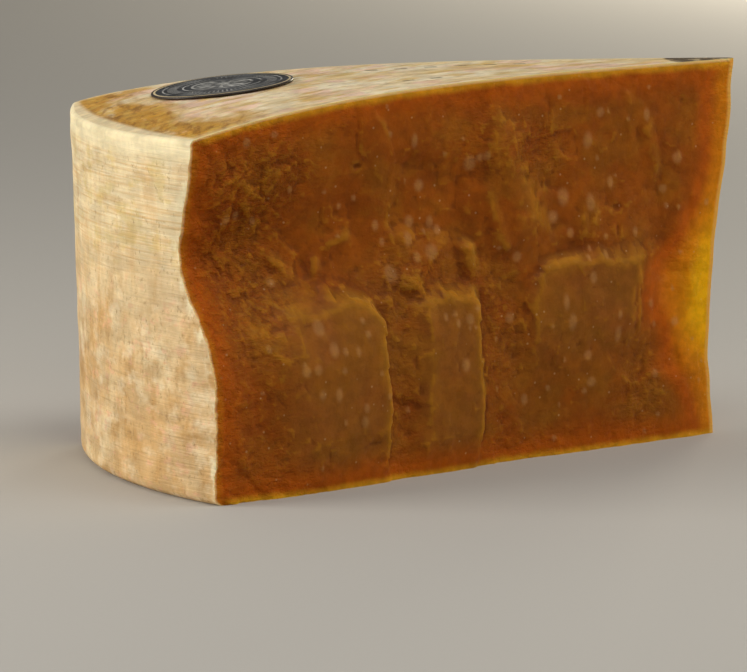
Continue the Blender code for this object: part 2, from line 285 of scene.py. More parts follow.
@dataclass(frozen=True)
class Wedge:
    """How the chunk was broken out of the wheel."""

    angle: float = math.radians(31.5)
    thin_edge: float = 3.0 * MM
    thin_edge_fade: float = 26.0 * MM
    thin_edge_pinch: float = 0.9 * MM
    thin_edge_ragged: float = 0.9 * MM
    thin_edge_ragged_size: float = 14.0 * MM
    thin_edge_break: float = 11.5 * MM
    thin_edge_break_top: float = 138.0 * MM
    thin_edge_break_run: float = 105.0 * MM
    thin_edge_toe: float = 3.0 * MM
    thin_edge_toe_height: float = 30.0 * MM
    thin_edge_whole: float = 0.03
    clean_edge: float = 12.0 * MM
    far_corner_wear: float = 7.0 * MM
    far_corner_reach: float = 22.0 * MM
    seed: int = 5

    def broken_back(self, z: np.ndarray) -> np.ndarray:
        """How much of the thin edge is broken away at each height, from 0 at the top to 1 low down."""
        return ease((self.thin_edge_break_top - z) / self.thin_edge_break_run)

    def thin_edge_line(self, z: np.ndarray) -> np.ndarray:
        """Works out where the thin edge runs.

        Args:
            z: Heights from the ground to the top rind.

        Returns:
            How far the edge lies from the middle of the wheel at each height.
        """
        toe = ease((self.thin_edge_toe_height - z) / self.thin_edge_toe_height)
        ragged = self.thin_edge_ragged * patches(z, z, self.thin_edge_ragged_size, self.seed)
        line = self.thin_edge_break * self.broken_back(z) - self.thin_edge_toe * toe + ragged
        gap = 1.0 - z / z[-1]
        return np.where(gap < self.thin_edge_whole, line * gap / self.thin_edge_whole, line)


@dataclass(frozen=True)
class Flake:
    """A plate of paste that stands out of a broken side, or a dent where its height is negative, in mm.

    A cut corner takes its top corner off, the one towards the rim, or towards the thin edge if negative.
    """

    along: float
    up: float
    half_u: float
    half_v: float
    turn: float
    height: float
    rim_side: float
    top: float
    thin_side: float
    foot: float
    cut_corner: float = 0.0
    cut_slope: float = 0.45
    cut_soft: float = 0.6
    ragged_half: float = 14.0
    ragged_power: float = 0.8

    def at(self, u: np.ndarray, v: np.ndarray) -> np.ndarray:
        """Works out the flake's height.

        Args:
            u: Distance from the thin edge of each point.
            v: Height of each point.

        Returns:
            How far the flake lifts each point.
        """
        c, s = math.cos(math.radians(self.turn)), math.sin(math.radians(self.turn))
        x = (u / MM - self.along) * c + (v / MM - self.up) * s
        y = (v / MM - self.up) * c - (u / MM - self.along) * s
        rise = crisp((self.half_u - x) / self.rim_side) * crisp((self.half_u + x) / self.thin_side)
        rise = rise * crisp((self.half_v - y) / self.top) * crisp((self.half_v + y) / self.foot)
        if self.cut_corner:
            across = self.half_u - math.copysign(1.0, self.cut_corner) * x
            inward = self.cut_slope * across + self.half_v - y
            rise = rise * crisp((inward - abs(self.cut_corner)) / (self.cut_soft * self.top))
        return self.height * MM * rise

    def looseness(self) -> float:
        """How ragged the outline is, from 0 to 1: small forms keep theirs."""
        return min(1.0, (min(self.half_u, self.half_v) / self.ragged_half) ** self.ragged_power)


@dataclass(frozen=True)
class Fold:
    """A long fold of a broken side, from one end to the other, in mm.

    It fades out at each end over one part in so many of its length, which is its ends.
    """

    u0: float
    v0: float
    u1: float
    v1: float
    half: float
    height: float
    ends: float = 4.0
    ragged_half: float = 6.0

    def at(self, u: np.ndarray, v: np.ndarray) -> np.ndarray:
        """Works out the fold's height.

        Args:
            u: Distance from the thin edge of each point.
            v: Height of each point.

        Returns:
            How far the fold lifts each point.
        """
        run_u, run_v = self.u1 - self.u0, self.v1 - self.v0
        length = math.hypot(run_u, run_v)
        off_u, off_v = u / MM - self.u0, v / MM - self.v0
        along = (off_u * run_u + off_v * run_v) / length**2
        across = (off_v * run_u - off_u * run_v) / length / self.half
        rise = self.height * MM * np.exp(-across * across)
        return rise * ease(along * self.ends) * ease((1.0 - along) * self.ends)

    def looseness(self) -> float:
        """How ragged the outline is, from 0 to 1: thin folds keep theirs."""
        return min(1.0, self.half / self.ragged_half)


@dataclass(frozen=True)
class BrokenSide:
    """The relief of one broken side: its flakes, its folds and the layers between them.

    The shown side stands out at its foot and is hollow above it, most towards the rim. The far side only
    waves. Nicks and wander make the outlines of all forms ragged. A form starts at its from, away from the
    thin edge, and is full after its grows or run. A size is that of a noise's forms, and an area is the
    product of a flake's two half sizes, in square millimetres.
    """

    side: Side
    seed: int
    flakes: tuple[Flake, ...]
    folds: tuple[Fold, ...]
    foot_out: float = 11.0 * MM
    foot_top: float = 88.0 * MM
    foot_run: float = 44.0 * MM
    foot_least: float = 0.12
    foot_from: float = 90.0 * MM
    foot_grows: float = 165.0 * MM
    hollow_in: float = 10.5 * MM
    hollow_up: float = 92.0 * MM
    hollow_half: float = 24.0 * MM
    hollow_from: float = 130.0 * MM
    hollow_grows: float = 125.0 * MM
    wave_out: float = 4.5 * MM
    wave_up: float = 60.0 * MM
    wave_length: float = 42.0 * MM
    wave_from: float = 60.0 * MM
    wave_grows: float = 150.0 * MM
    wander: float = 2.2 * MM
    wander_sizes: tuple[float, float] = (15.0 * MM, 16.0 * MM)
    nick_size: float = 7.0 * MM
    nick: float = 1.7 * MM
    swell_size: float = 27.0 * MM
    swell: float = 0.9 * MM
    ripple_size: float = 11.0 * MM
    ripple: float = 0.2 * MM
    crumble_from: float = 205.0 * MM
    crumble_run: float = 30.0 * MM
    crumble_size: float = 24.0 * MM
    crumble_least: float = 0.15
    crumble_at_rim: float = 0.6
    crumble_patchy: float = 0.4
    crumb_size: float = 5.5 * MM
    crumb: float = 0.25 * MM
    crumb_ripple: float = 0.3 * MM
    chip_size: float = 9.0 * MM
    chip_height: float = 0.9 * MM
    facet_size: float = 24.0 * MM
    facet_height: float = 0.7 * MM
    grain_down: float = 0.25 * MM
    grain_fade: float = 3.0 * MM
    grain_bend: float = 1.2 * MM
    grain_bend_size: float = 6.0 * MM
    grain_fine: float = 0.7
    grain_waves: tuple[float, float] = (0.12 * MM, 0.16 * MM)
    grain_sizes: tuple[float, float] = (2.4 * MM, 4.1 * MM)
    layer_size: float = 9.0 * MM
    layer_height: float = 0.35 * MM
    small_size: float = 3.6 * MM
    small_height: float = 0.8 * MM
    small_least: float = 0.12
    plate_area: float = 600.0
    plate_height: float = 3.0
    calm_area: float = 450.0
    calm_swell: float = 0.75
    calm_crumble: float = 0.6

    def relief(self, u: np.ndarray, v: np.ndarray) -> np.ndarray:
        """Adds up the side's small forms, with their outlines made ragged.

        Args:
            u: Distance from the thin edge of each point.
            v: Height of each point.

        Returns:
            How far the small forms lift each point.
        """
        n = self.seed
        nicks = [chips(u, v, self.nick_size, self.nick, n + k) for k in (1, 3)]
        off_u = self.wander * patches(u, v, self.wander_sizes[0], n) + nicks[0]
        off_v = self.wander * patches(u, v, self.wander_sizes[1], n + 2) + nicks[1]
        ragged_u, ragged_v = u + off_u, v + off_v
        ripples = patches(u, v, self.ripple_size, n + 5)
        out = self.swell * patches(u, v, self.swell_size, n + 4) + self.ripple * ripples
        out = out + chips(ragged_u, ragged_v, self.facet_size, self.facet_height, n + 7)
        out = out * (1.0 - self.calm_swell * self.calm(ragged_u, ragged_v))
        loose = self.crumbly(u, v)
        crumbs = self.crumb_ripple * ripples + self.crumb * patches(u, v, self.crumb_size, n + 6)
        out = out + loose * crumbs
        out = out + loose * chips(ragged_u, ragged_v, self.chip_size, self.chip_height, n + 8)
        for form in (*self.flakes, *self.folds):
            out = out + form.at(u + form.looseness() * off_u, v + form.looseness() * off_v)
        return out

    def large(self, least: float) -> list[Flake]:
        """The flakes whose two half sizes multiply to more than this many square millimetres."""
        return [flake for flake in self.flakes if flake.half_u * flake.half_v > least]

    def cover(self, u: np.ndarray, v: np.ndarray, flakes: list[Flake]) -> np.ndarray:
        """How far up any of some flakes each point is, from 0 beside them to 1 on top."""
        return np.max([flake.at(u, v) / (flake.height * MM) for flake in flakes], axis=0)

    def plate(self, u: np.ndarray, v: np.ndarray) -> np.ndarray:
        """How much of a large smooth plate each point is on, from 0 to 1."""
        plates = [flake for flake in self.large(self.plate_area) if flake.height > self.plate_height]
        return self.cover(u, v, plates)

    def calm(self, u: np.ndarray, v: np.ndarray) -> np.ndarray:
        """How much of any large form, plate or bowl, each point is in, from 0 to 1."""
        return self.cover(u, v, self.large(self.calm_area))

    def crumbly(self, u: np.ndarray, v: np.ndarray) -> np.ndarray:
        """Works out how crumbly the side is: most towards the rind, least on the plates.

        Args:
            u: Distance from the thin edge of each point.
            v: Height of each point.

        Returns:
            The crumbliness from 0 to 1.
        """
        near_rim = ease((u - self.crumble_from) / self.crumble_run)
        spots = self.crumble_patchy * patches(u, v, self.crumble_size, self.seed + 21)
        loose = np.clip(self.crumble_least + self.crumble_at_rim * near_rim + spots, 0.0, 1.0)
        return loose * (1.0 - self.calm_crumble * self.calm(u, v))

    def grain(self, u: np.ndarray, v: np.ndarray) -> np.ndarray:
        """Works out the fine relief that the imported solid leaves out: grains and thin layers' edges.

        Args:
            u: Distance from the thin edge of each point.
            v: Height of each point.

        Returns:
            How far it lifts each point.
        """
        n = self.seed + 30
        bend = self.grain_bend * patches(u, v, self.grain_bend_size, n)
        fine = self.grain_waves[0] * patches(u, v, self.grain_sizes[0], n + 1)
        fine = fine + self.grain_waves[1] * patches(u + bend, v, self.grain_sizes[1], n + 2)
        layer = chips(u - bend, v + bend, self.layer_size, self.layer_height, n + 3)
        small = chips(u + bend, v - bend, self.small_size, self.small_height, n + 4)
        loose = self.small_least + (1.0 - self.small_least) * self.crumbly(u, v)
        return fine * self.grain_fine + layer + small * loose

    def stand_out(self, u: np.ndarray, v: np.ndarray) -> np.ndarray:
        """Works out how far the side stands out from the straight side of the wedge.

        Args:
            u: Distance from the thin edge of each point.
            v: Height of each point.

        Returns:
            How far each point stands out.
        """
        if self.side is Side.FAR:
            grown = ease((u - self.wave_from) / self.wave_grows)
            wave = np.sin((v - self.wave_up) / self.wave_length) * grown
            return self.wave_out * wave + self.relief(u, v)
        grown = ease((u - self.foot_from) / self.foot_grows)
        foot = ease((self.foot_top - v) / self.foot_run)
        foot = foot * (self.foot_least + (1.0 - self.foot_least) * grown)
        up = (v - self.hollow_up) / self.hollow_half
        hollow = np.exp(-up * up) * ease((u - self.hollow_from) / self.hollow_grows)
        return self.foot_out * foot - self.hollow_in * hollow + self.relief(u, v)


SHOWN_SIDE = BrokenSide(
    side=Side.SHOWN,
    seed=11,
    flakes=(
        Flake(208.5, 35.0, 32.5, 46.5, -4.0, 4.6, 24.0, 14.0, 2.4, 30.0, -12.0),  # broad plate at the rim
        Flake(148.0, 31.0, 21.0, 42.5, 0.0, 4.2, 13.0, 8.0, 3.6, 24.0, 6.0),  # narrower plate beside it
        Flake(131.6, 78.0, 5.2, 11.5, -15.0, 2.8, 4.0, 4.0, 4.6, 12.0),  # tongue
        Flake(76.5, 50.5, 33.5, 32.5, 4.0, 3.8, 9.0, 7.0, 12.0, 34.0, 12.0),  # plate on the thin side
        Flake(50.0, 56.0, 3.0, 17.0, 0.0, 1.1, 2.4, 6.0, 3.6, 8.0),  # rib near its thin side
        Flake(74.0, 94.0, 8.0, 13.0, 2.0, 1.4, 5.0, 12.0, 6.0, 5.0),  # pane over it
        Flake(119.0, 104.0, 18.0, 34.0, -12.0, 2.8, 24.0, 12.0, 15.0, 20.0),  # long plate with a step
        Flake(219.6, 85.4, 8.6, 4.4, 38.0, 1.7, 6.0, 3.8, 6.0, 4.6),  # leaf
        Flake(192.5, 91.0, 10.5, 6.0, -16.0, 1.8, 7.0, 6.0, 7.0, 5.6),  # crag
        Flake(202.0, 83.6, 4.8, 7.0, 6.0, 1.6, 3.6, 5.0, 4.6, 5.0),  # post under the crag
        Flake(162.0, 76.0, 8.0, 7.0, 10.0, 2.0, 5.0, 6.0, 5.0, 4.0),
        Flake(240.0, 112.0, 13.0, 17.0, -16.0, 1.2, 9.0, 10.0, 8.0, 8.0),
        Flake(234.0, 60.0, 14.0, 9.0, 20.0, 1.2, 9.0, 7.0, 8.0, 5.0),
        Flake(40.0, 82.0, 13.0, 30.0, -6.0, -1.5, 14.0, 12.0, 8.0, 12.0),
        Flake(150.0, 106.0, 30.0, 22.0, 14.0, -2.4, 16.0, 12.0, 16.0, 10.0),  # smooth shallow bowl
        Flake(184.5, 120.0, 2.8, 1.4, -16.0, -1.8, 2.0, 1.4, 2.0, 1.4),  # small holes
        Flake(59.0, 95.0, 3.8, 2.2, -10.0, -1.2, 3.0, 2.0, 3.0, 2.0),
        Flake(59.0, 86.0, 1.6, 3.4, 0.0, -1.0, 1.6, 2.0, 1.6, 2.0),
    ),
    folds=(
        Fold(118.0, 142.0, 103.0, 80.0, 8.0, 2.0),
        Fold(126.0, 110.0, 116.0, 78.0, 4.0, 1.4),
        Fold(96.0, 116.0, 88.0, 84.0, 6.0, -1.2),
        Fold(134.0, 106.0, 125.0, 80.0, 3.4, 0.9),
        Fold(44.0, 132.0, 39.0, 100.0, 3.2, 1.0),
        Fold(41.0, 68.0, 48.0, 34.0, 3.2, 1.0),
    ),
)
FAR_SIDE = BrokenSide(
    side=Side.FAR,
    seed=41,
    flakes=(
        Flake(196.0, 84.0, 36.0, 30.0, 14.0, 4.6, 28.0, 10.0, 3.0, 26.0, -12.0),
        Flake(132.0, 42.0, 30.0, 38.0, -14.0, 5.0, 7.0, 14.0, 26.0, 30.0, 14.0),
        Flake(72.0, 86.0, 24.0, 31.0, 11.0, 3.4, 3.0, 14.0, 22.0, 26.0, 9.0),
        Flake(220.0, 28.0, 26.0, 22.0, 20.0, -4.0, 18.0, 14.0, 16.0, 14.0),
        Flake(152.0, 118.0, 22.0, 9.0, -20.0, 2.6, 16.0, 7.0, 10.0, 3.0),
        Flake(100.0, 22.0, 14.0, 16.0, 12.0, 2.4, 4.0, 12.0, 14.0, 12.0),
        Flake(48.0, 32.0, 16.0, 20.0, -15.0, 2.2, 5.0, 12.0, 14.0, 14.0),
        Flake(178.0, 34.0, 11.0, 15.0, 25.0, -2.4, 9.0, 8.0, 9.0, 9.0),
    ),
    folds=(
        Fold(210.0, 60.0, 160.0, 20.0, 5.0, -3.0),
        Fold(118.0, 128.0, 92.0, 96.0, 5.0, 2.6),
    ),
)


# -------------------- Finishes --------------------


class Skin(Enum):
    """What a finish's patterns are laid out on."""

    SOLID = "Object"
    UNROLLED = "surface"


@dataclass(frozen=True)
class Light:
    """How a surface takes light: the numbers that are the same all over it."""

    rough_low: float
    rough_high: float
    specular: float = 0.5
    ior: float = 1.45
    translucency: float = 0.0
    depth_mm: float = 3.0
    spread: tuple[float, float, float] = (1.0, 0.5, 0.2)
    bump_mm: float = 0.3
    worn: tuple[float, float] = (0.35, 0.65)


@dataclass
class Paint:
    """A finish in the making: one material's tree, with its colour and its relief so far."""

    name: str
    base: str
    skin: Skin
    tree: Any = field(init=False)
    place: Any = field(init=False)
    colour: Any = field(init=False)
    height: Any = 0.0
    roughness: float = 0.58

    def __post_init__(self) -> None:
        """Makes the empty material."""
        self.material = bpy.data.materials.new(self.name)
        self.material.use_nodes = True
        self.tree = self.material.node_tree
        self.tree.nodes.clear()
        if self.skin is Skin.SOLID:
            self.place = add_node(self.tree, "ShaderNodeTexCoord").outputs[self.skin.value]
        else:
            self.place = add_node(self.tree, "ShaderNodeUVMap", uv_map=self.skin.value).outputs[0]
        self.colour = hex_linear(self.base)

    def clouds(
        self,
        size_mm: tuple[float, float, float],
        detail: float = 3.0,
        seed: float = 0.0,
        turn: float = 0.0,
    ) -> Any:
        """Makes noise with forms of a real size.

        Args:
            size_mm: Size of the forms along the three axes.
            detail: Steps of finer forms.
            seed: Shift that gives another part of the pattern, in metres.
            turn: Angle of the pattern about Z.

        Returns:
            The noise's socket, about 0.3 to 0.7.
        """
        ports = {
            "Vector": self.place,
            "Location": (seed, seed, seed),
            "Rotation": (0.0, 0.0, turn),
            "Scale": tuple(length * MM for length in size_mm),
        }
        laid = add_node(self.tree, "ShaderNodeMapping", ports, vector_type="TEXTURE").outputs[0]
        ports = {"Vector": laid, "Scale": 1.0, "Detail": detail, "Roughness": self.roughness}
        return add_node(self.tree, "ShaderNodeTexNoise", ports).outputs[0]

    def share(self, value: Any, low: float, high: float, most: float = 1.0, mask: Any = None) -> Any:
        """Turns a value into a share from 0 at low to the most at high.

        Args:
            value: The value's socket.
            low: Value that gives 0.
            high: Value that gives the most.
            most: Largest share.
            mask: Another share that this one is multiplied by.

        Returns:
            The share's socket.
        """
        ports = {"Value": value, "From Min": low, "From Max": high, "To Min": 0.0, "To Max": most}
        part = add_node(self.tree, "ShaderNodeMapRange", ports, interpolation_type="SMOOTHSTEP").outputs[0]
        if mask is None:
            return part
        return add_node(self.tree, "ShaderNodeMath", {0: part, 1: mask}, operation="MULTIPLY").outputs[0]

    def lay(self, code: str, part: Any) -> None:
        """Lays a colour over what is there.

        Args:
            code: The colour's hex code.
            part: How much of it shows, a share's socket.
        """
        ports = {0: part, 6: self.colour, 7: hex_linear(code)}
        self.colour = add_node(self.tree, "ShaderNodeMix", ports, data_type="RGBA").outputs[2]

    def tone(self, value: Any, low: float, high: float, dark: float, bright: float) -> None:
        """Darkens and brightens what is there by a value.

        Args:
            value: The value's socket.
            low: Value at which it is dark.
            high: Value at which it is bright.
            dark: Brightness at low, where 1 leaves it alone.
            bright: Brightness at high.
        """
        ports = {"Value": value, "From Min": low, "From Max": high, "To Min": dark, "To Max": bright}
        level = add_node(self.tree, "ShaderNodeMapRange", ports, interpolation_type="SMOOTHSTEP").outputs[0]
        grey = add_node(self.tree, "ShaderNodeCombineColor", {0: level, 1: level, 2: level}).outputs[0]
        ports = {0: 1.0, 6: self.colour, 7: grey}
        laid = add_node(self.tree, "ShaderNodeMix", ports, data_type="RGBA", blend_type="MULTIPLY")
        self.colour = laid.outputs[2]

    def emboss(self, value: Any, amount: float) -> None:
        """Adds a value to the relief.

        Args:
            value: The value's socket.
            amount: How much of it is added, in parts of the light's bump height.
        """
        ports = {0: value, 1: amount, 2: self.height}
        self.height = add_node(self.tree, "ShaderNodeMath", ports, operation="MULTIPLY_ADD").outputs[0]

    def close(self, light: Light, worn: Any) -> bpy.types.Material:
        """Ends the material with its surface.

        Args:
            light: How the surface takes light.
            worn: Noise that the roughness follows.

        Returns:
            The material.
        """
        ports = {"Height": self.height, "Distance": light.bump_mm * MM, "Strength": 1.0}
        normal = add_node(self.tree, "ShaderNodeBump", ports).outputs[0]
        ports = {
            "Value": worn,
            "From Min": light.worn[0],
            "From Max": light.worn[1],
            "To Min": light.rough_low,
            "To Max": light.rough_high,
        }
        rough = add_node(self.tree, "ShaderNodeMapRange", ports).outputs[0]
        ports = {
            "Base Color": self.colour,
            "Roughness": rough,
            "Normal": normal,
            "IOR": light.ior,
            "Specular IOR Level": light.specular,
            "Subsurface Weight": light.translucency,
            "Subsurface Radius": light.spread,
            "Subsurface Scale": light.depth_mm * MM,
        }
        surface = add_node(self.tree, "ShaderNodeBsdfPrincipled", ports).outputs[0]
        add_node(self.tree, "ShaderNodeOutputMaterial", {"Surface": surface})
        return self.material


PASTE_VALUES = (
    "under_rind",
    "under_rim",
    "from_thin_edge",
    "painted_glow",
    "proud",
    "fine",
    "facing",
    "plate",
    "crystal",
    "crumbly",
)


@dataclass(frozen=True)
class BrokenPaste:
    """Aged extra-hard cheese paste, broken open and not cut.

    It is waxy and lets some light in, and a glow near the thin edge, from orange to gold, is painted into
    its colour as well. Long ageing gives an amber colour with hardly any blue, golden under the rind, and
    soft pale spots of crystals. Raised forms, crumbs, grains and slopes that face the light get painted
    highlights, recesses, pits and slopes that face away get painted shade, and the thin edge itself gets a
    painted highlight.
    """

    name: str = "broken_hard_cheese_paste"
    amber: str = "#9E520B"
    deep: str = "#904808"
    smooth: str = "#96581F"
    olive: str = "#9C5F12"
    umber: str = "#8E5C18"
    # painted highlight on raised forms, crumbs, grains and slopes facing the light
    lit: str = "#B57A1A"
    # painted shade in recesses and on slopes facing away from the light
    hollow: str = "#813D0A"
    # painted shade in crumb pits and small recesses
    mark_and_shade: str = "#662C08"
    orange: str = "#B45605"
    rust: str = "#AC4C0A"
    # painted highlight on the steepest slopes facing the light
    bright: str = "#CC9440"
    gold: str = "#DE9F1C"
    cream: str = "#F8D898"
    # painted glow near the thin edge, from orange to gold
    glow_low: str = "#BE5C0A"
    glow_mid: str = "#D98408"
    glow_high: str = "#F8B602"
    # painted highlight along the thin edge
    edge: str = "#EFB452"
    spot: str = "#C08E58"
    grain: str = "#E6C48C"
    light: Light = Light(
        rough_low=0.42,
        rough_high=0.62,
        specular=0.12,
        translucency=0.3,
        depth_mm=4.0,
        spread=(1.0, 0.36, 0.08),
        bump_mm=0.45,
    )

    def build(self) -> bpy.types.Material:
        """Makes the material.

        Returns:
            The material.
        """
        paint = Paint(self.name, self.amber, Skin.SOLID)
        mesh = {}
        for name in PASTE_VALUES:
            mesh[name] = add_node(paint.tree, "ShaderNodeAttribute", attribute_name=name).outputs["Fac"]
        share, clouds = paint.share, paint.clouds

        paint.lay(self.deep, share(clouds((24.0, 24.0, 20.0)), 0.40, 0.62))
        paint.lay(self.smooth, share(mesh["plate"], 0.1, 0.9, 0.8))
        paint.lay(self.olive, share(clouds((20.0, 20.0, 16.0), 3.0, 2.2), 0.46, 0.62, 0.5))
        up = add_node(paint.tree, "ShaderNodeSeparateXYZ", {0: paint.place}).outputs[2]
        lower = share(up, 104.0 * MM, 62.0 * MM)
        paint.lay(self.umber, share(clouds((26.0, 26.0, 22.0), 3.0, 2.9), 0.34, 0.58, 0.42, lower))
        # painted highlight on raised forms and painted shade in recesses
        paint.lay(self.lit, share(mesh["proud"], 0.15, 1.0, 0.34))
        paint.lay(self.hollow, share(mesh["proud"], -0.1, -1.4, 0.3))
        # painted highlight on slopes facing the light and painted shade on slopes facing away
        paint.lay(self.lit, share(mesh["facing"], 0.04, 0.36, 0.5))
        paint.lay(self.bright, share(mesh["facing"], 0.30, 0.75, 0.4))
        paint.lay(self.hollow, share(mesh["facing"], -0.04, -0.5, 0.3))
        crumbs = clouds((2.4, 2.4, 1.5), 2.0, 0.3)
        # painted shade in the crumbs' pits and painted highlight on their tops
        paint.lay(self.mark_and_shade, share(crumbs, 0.44, 0.35, 0.36, mesh["crumbly"]))
        paint.lay(self.lit, share(crumbs, 0.56, 0.68, 0.5, mesh["crumbly"]))
        # painted shade in small recesses and painted highlight on small raised grains
        paint.lay(self.mark_and_shade, share(mesh["fine"], -0.25, -1.0, 0.4))
        paint.lay(self.lit, share(mesh["fine"], 0.2, 1.0, 0.45))
        wander = clouds((12.0, 12.0, 8.0), 2.0, 0.7)
        ports = {0: wander, 1: 2.4, 2: -1.2}
        ragged = add_node(paint.tree, "ShaderNodeMath", ports, operation="MULTIPLY_ADD").outputs[0]
        ports = {0: mesh["under_rind"], 1: ragged}
        rind = add_node(paint.tree, "ShaderNodeMath", ports, operation="ADD").outputs[0]
        paint.lay(self.rust, share(mesh["under_rim"], 34.0, 4.0, 0.35))
        paint.lay(self.orange, share(rind, 16.0, 3.5, 0.9))
        # painted glow near the thin edge
        paint.lay(self.glow_low, share(mesh["painted_glow"], 0.05, 0.30, 0.9))
        paint.lay(self.glow_mid, share(mesh["painted_glow"], 0.30, 0.65))
        paint.lay(self.glow_high, share(mesh["painted_glow"], 0.58, 0.95))
        paint.lay(self.spot, share(mesh["crystal"], 0.0, 1.0, 0.40))
        ports = {"Vector": paint.place, "Scale": (6.0 * MM, 6.0 * MM, 6.0 * MM)}
        cells = add_node(paint.tree, "ShaderNodeMapping", ports, vector_type="TEXTURE").outputs[0]
        ports = {"Vector": cells, "Scale": 1.0}
        grains = add_node(paint.tree, "ShaderNodeTexVoronoi", ports).outputs["Distance"]
        paint.lay(self.grain, share(grains, 0.10, 0.05, 0.26))
        paint.lay(self.gold, share(rind, 4.6, 1.0, 0.95))
        paint.lay(self.orange, share(mesh["under_rim"], 6.5, 2.5, 0.7))
        paint.tone(clouds((5.0, 5.0, 5.0), 4.0, 1.1), 0.36, 0.66, 0.90, 1.12)
        paint.lay(self.cream, share(mesh["under_rind"], 1.6, 0.3, 0.9))
        # painted highlight along the thin edge
        paint.lay(self.edge, share(mesh["from_thin_edge"], 2.6, 0.8))

        paint.emboss(share(crumbs, 0.34, 0.6, 1.0, mesh["crumbly"]), 0.9)
        paint.emboss(clouds((1.3, 1.3, 1.0), 4.0, 0.2), 0.45)
        return paint.close(self.light, clouds((4.0, 4.0, 3.0), 2.0, 0.5))


@dataclass(frozen=True)
class RimRind:
    """Natural rind on the rim: pressed in a cloth, dried, and wiped for months, so it is smooth and dry.

    It is cream near the top and tan lower down, with fine level scratches and a faint print of the cloth.
    A paler band under the shoulder carries a painted highlight, and patches beside the broken side are
    painted sheen.
    """

    name: str = "natural_rind_rim"
    cream: str = "#DFCDA4"
    tan: str = "#CBA46C"
    honey: str = "#B08038"
    straw: str = "#CDB466"
    pale: str = "#EADBB8"
    rosy: str = "#DBA884"
    mark_and_shade: str = "#8F6A32"
    # paler band under the shoulder with a painted highlight, and painted sheen beside the broken side
    border: str = "#E9DDB6"
    light: Light = Light(0.42, 0.62, specular=0.35, translucency=0.08, bump_mm=0.35)

    def build(self) -> bpy.types.Material:
        """Makes the material.

        Returns:
            The material.
        """
        paint = Paint(self.name, self.cream, Skin.UNROLLED)
        up = add_node(paint.tree, "ShaderNodeSeparateXYZ", {0: paint.place}).outputs[1]
        gap = add_node(paint.tree, "ShaderNodeAttribute", attribute_name="from_break").outputs["Fac"]
        share, clouds = paint.share, paint.clouds

        lower = share(up, 112.0 * MM, 40.0 * MM)
        paint.lay(self.tan, share(clouds((46.0, 34.0, 30.0), 4.0), 0.26, 0.60, 0.9, lower))
        paint.lay(self.tan, share(clouds((9.0, 40.0, 30.0), 3.0, 0.9), 0.46, 0.68, 0.45))
        low = share(up, 96.0 * MM, 58.0 * MM)
        paint.lay(self.honey, share(clouds((9.0, 16.0, 9.0), 4.0, 0.3), 0.42, 0.70, 0.6, low))
        paint.lay(self.pale, share(clouds((11.0, 8.0, 9.0), 3.0, 0.7), 0.46, 0.74, 0.55, low))
        paint.lay(self.rosy, share(clouds((6.0, 4.0, 9.0), 2.0, 1.3), 0.56, 0.72, 0.6, low))
        level = clouds((42.0, 1.0, 9.0), 5.0, 1.1)
        high = share(up, 70.0 * MM, 98.0 * MM)
        paint.lay(self.tan, share(level, 0.50, 0.68, 0.6, high))
        paint.lay(self.pale, share(level, 0.48, 0.34, 0.6, high))
        paint.lay(self.tan, share(clouds((30.0, 3.0, 9.0), 4.0, 3.1), 0.50, 0.70, 0.5, high))
        paint.lay(self.straw, share(clouds((12.0, 9.0, 9.0), 5.0, 4.1), 0.50, 0.62, 0.4, high))
        faint = clouds((26.0, 1.3, 9.0), 4.0, 2.1)
        paint.lay(self.mark_and_shade, share(faint, 0.56, 0.74, 0.34))
        speck = clouds((1.8, 2.4, 9.0), 3.0, 0.5)
        paint.lay(self.mark_and_shade, share(speck, 0.58, 0.74, 0.5))
        # paler band under the shoulder, with a painted highlight
        paint.lay(self.border, share(up, 124.0 * MM, 130.0 * MM, 0.85))
        # painted sheen in patches beside the broken side
        painted_sheen = share(clouds((9.0, 12.0, 9.0), 3.0, 2.7), 0.46, 0.60)
        paint.lay(self.border, share(gap, 6.0, 1.5, 0.8, painted_sheen))
        paint.tone(clouds((16.0, 7.0, 9.0), 6.0, 3.3), 0.36, 0.66, 0.88, 1.13)
        paint.tone(clouds((3.0, 14.0, 9.0), 4.0, 3.7), 0.36, 0.66, 0.97, 1.04)

        ports = {"Vector": paint.place, "Scale": (3.4 * MM, 3.4 * MM, 3.4 * MM)}
        cloth = add_node(paint.tree, "ShaderNodeMapping", ports, vector_type="TEXTURE").outputs[0]
        ports = {"Vector": cloth, "Scale": 1.0, "Randomness": 0.4}
        dots = add_node(paint.tree, "ShaderNodeTexVoronoi", ports).outputs["Distance"]
        worn = share(clouds((30.0, 24.0, 9.0), 3.0, 1.7), 0.42, 0.58, 1.0, low)
        paint.lay(self.mark_and_shade, share(dots, 0.34, 0.08, 0.3, worn))

        paint.emboss(share(dots, 0.1, 0.5, 1.0, worn), 0.5)
        paint.emboss(level, 1.2)
        paint.emboss(clouds((5.0, 2.4, 9.0), 4.0, 0.2), 0.7)
        return paint.close(self.light, clouds((12.0, 9.0, 9.0), 3.0, 0.8))


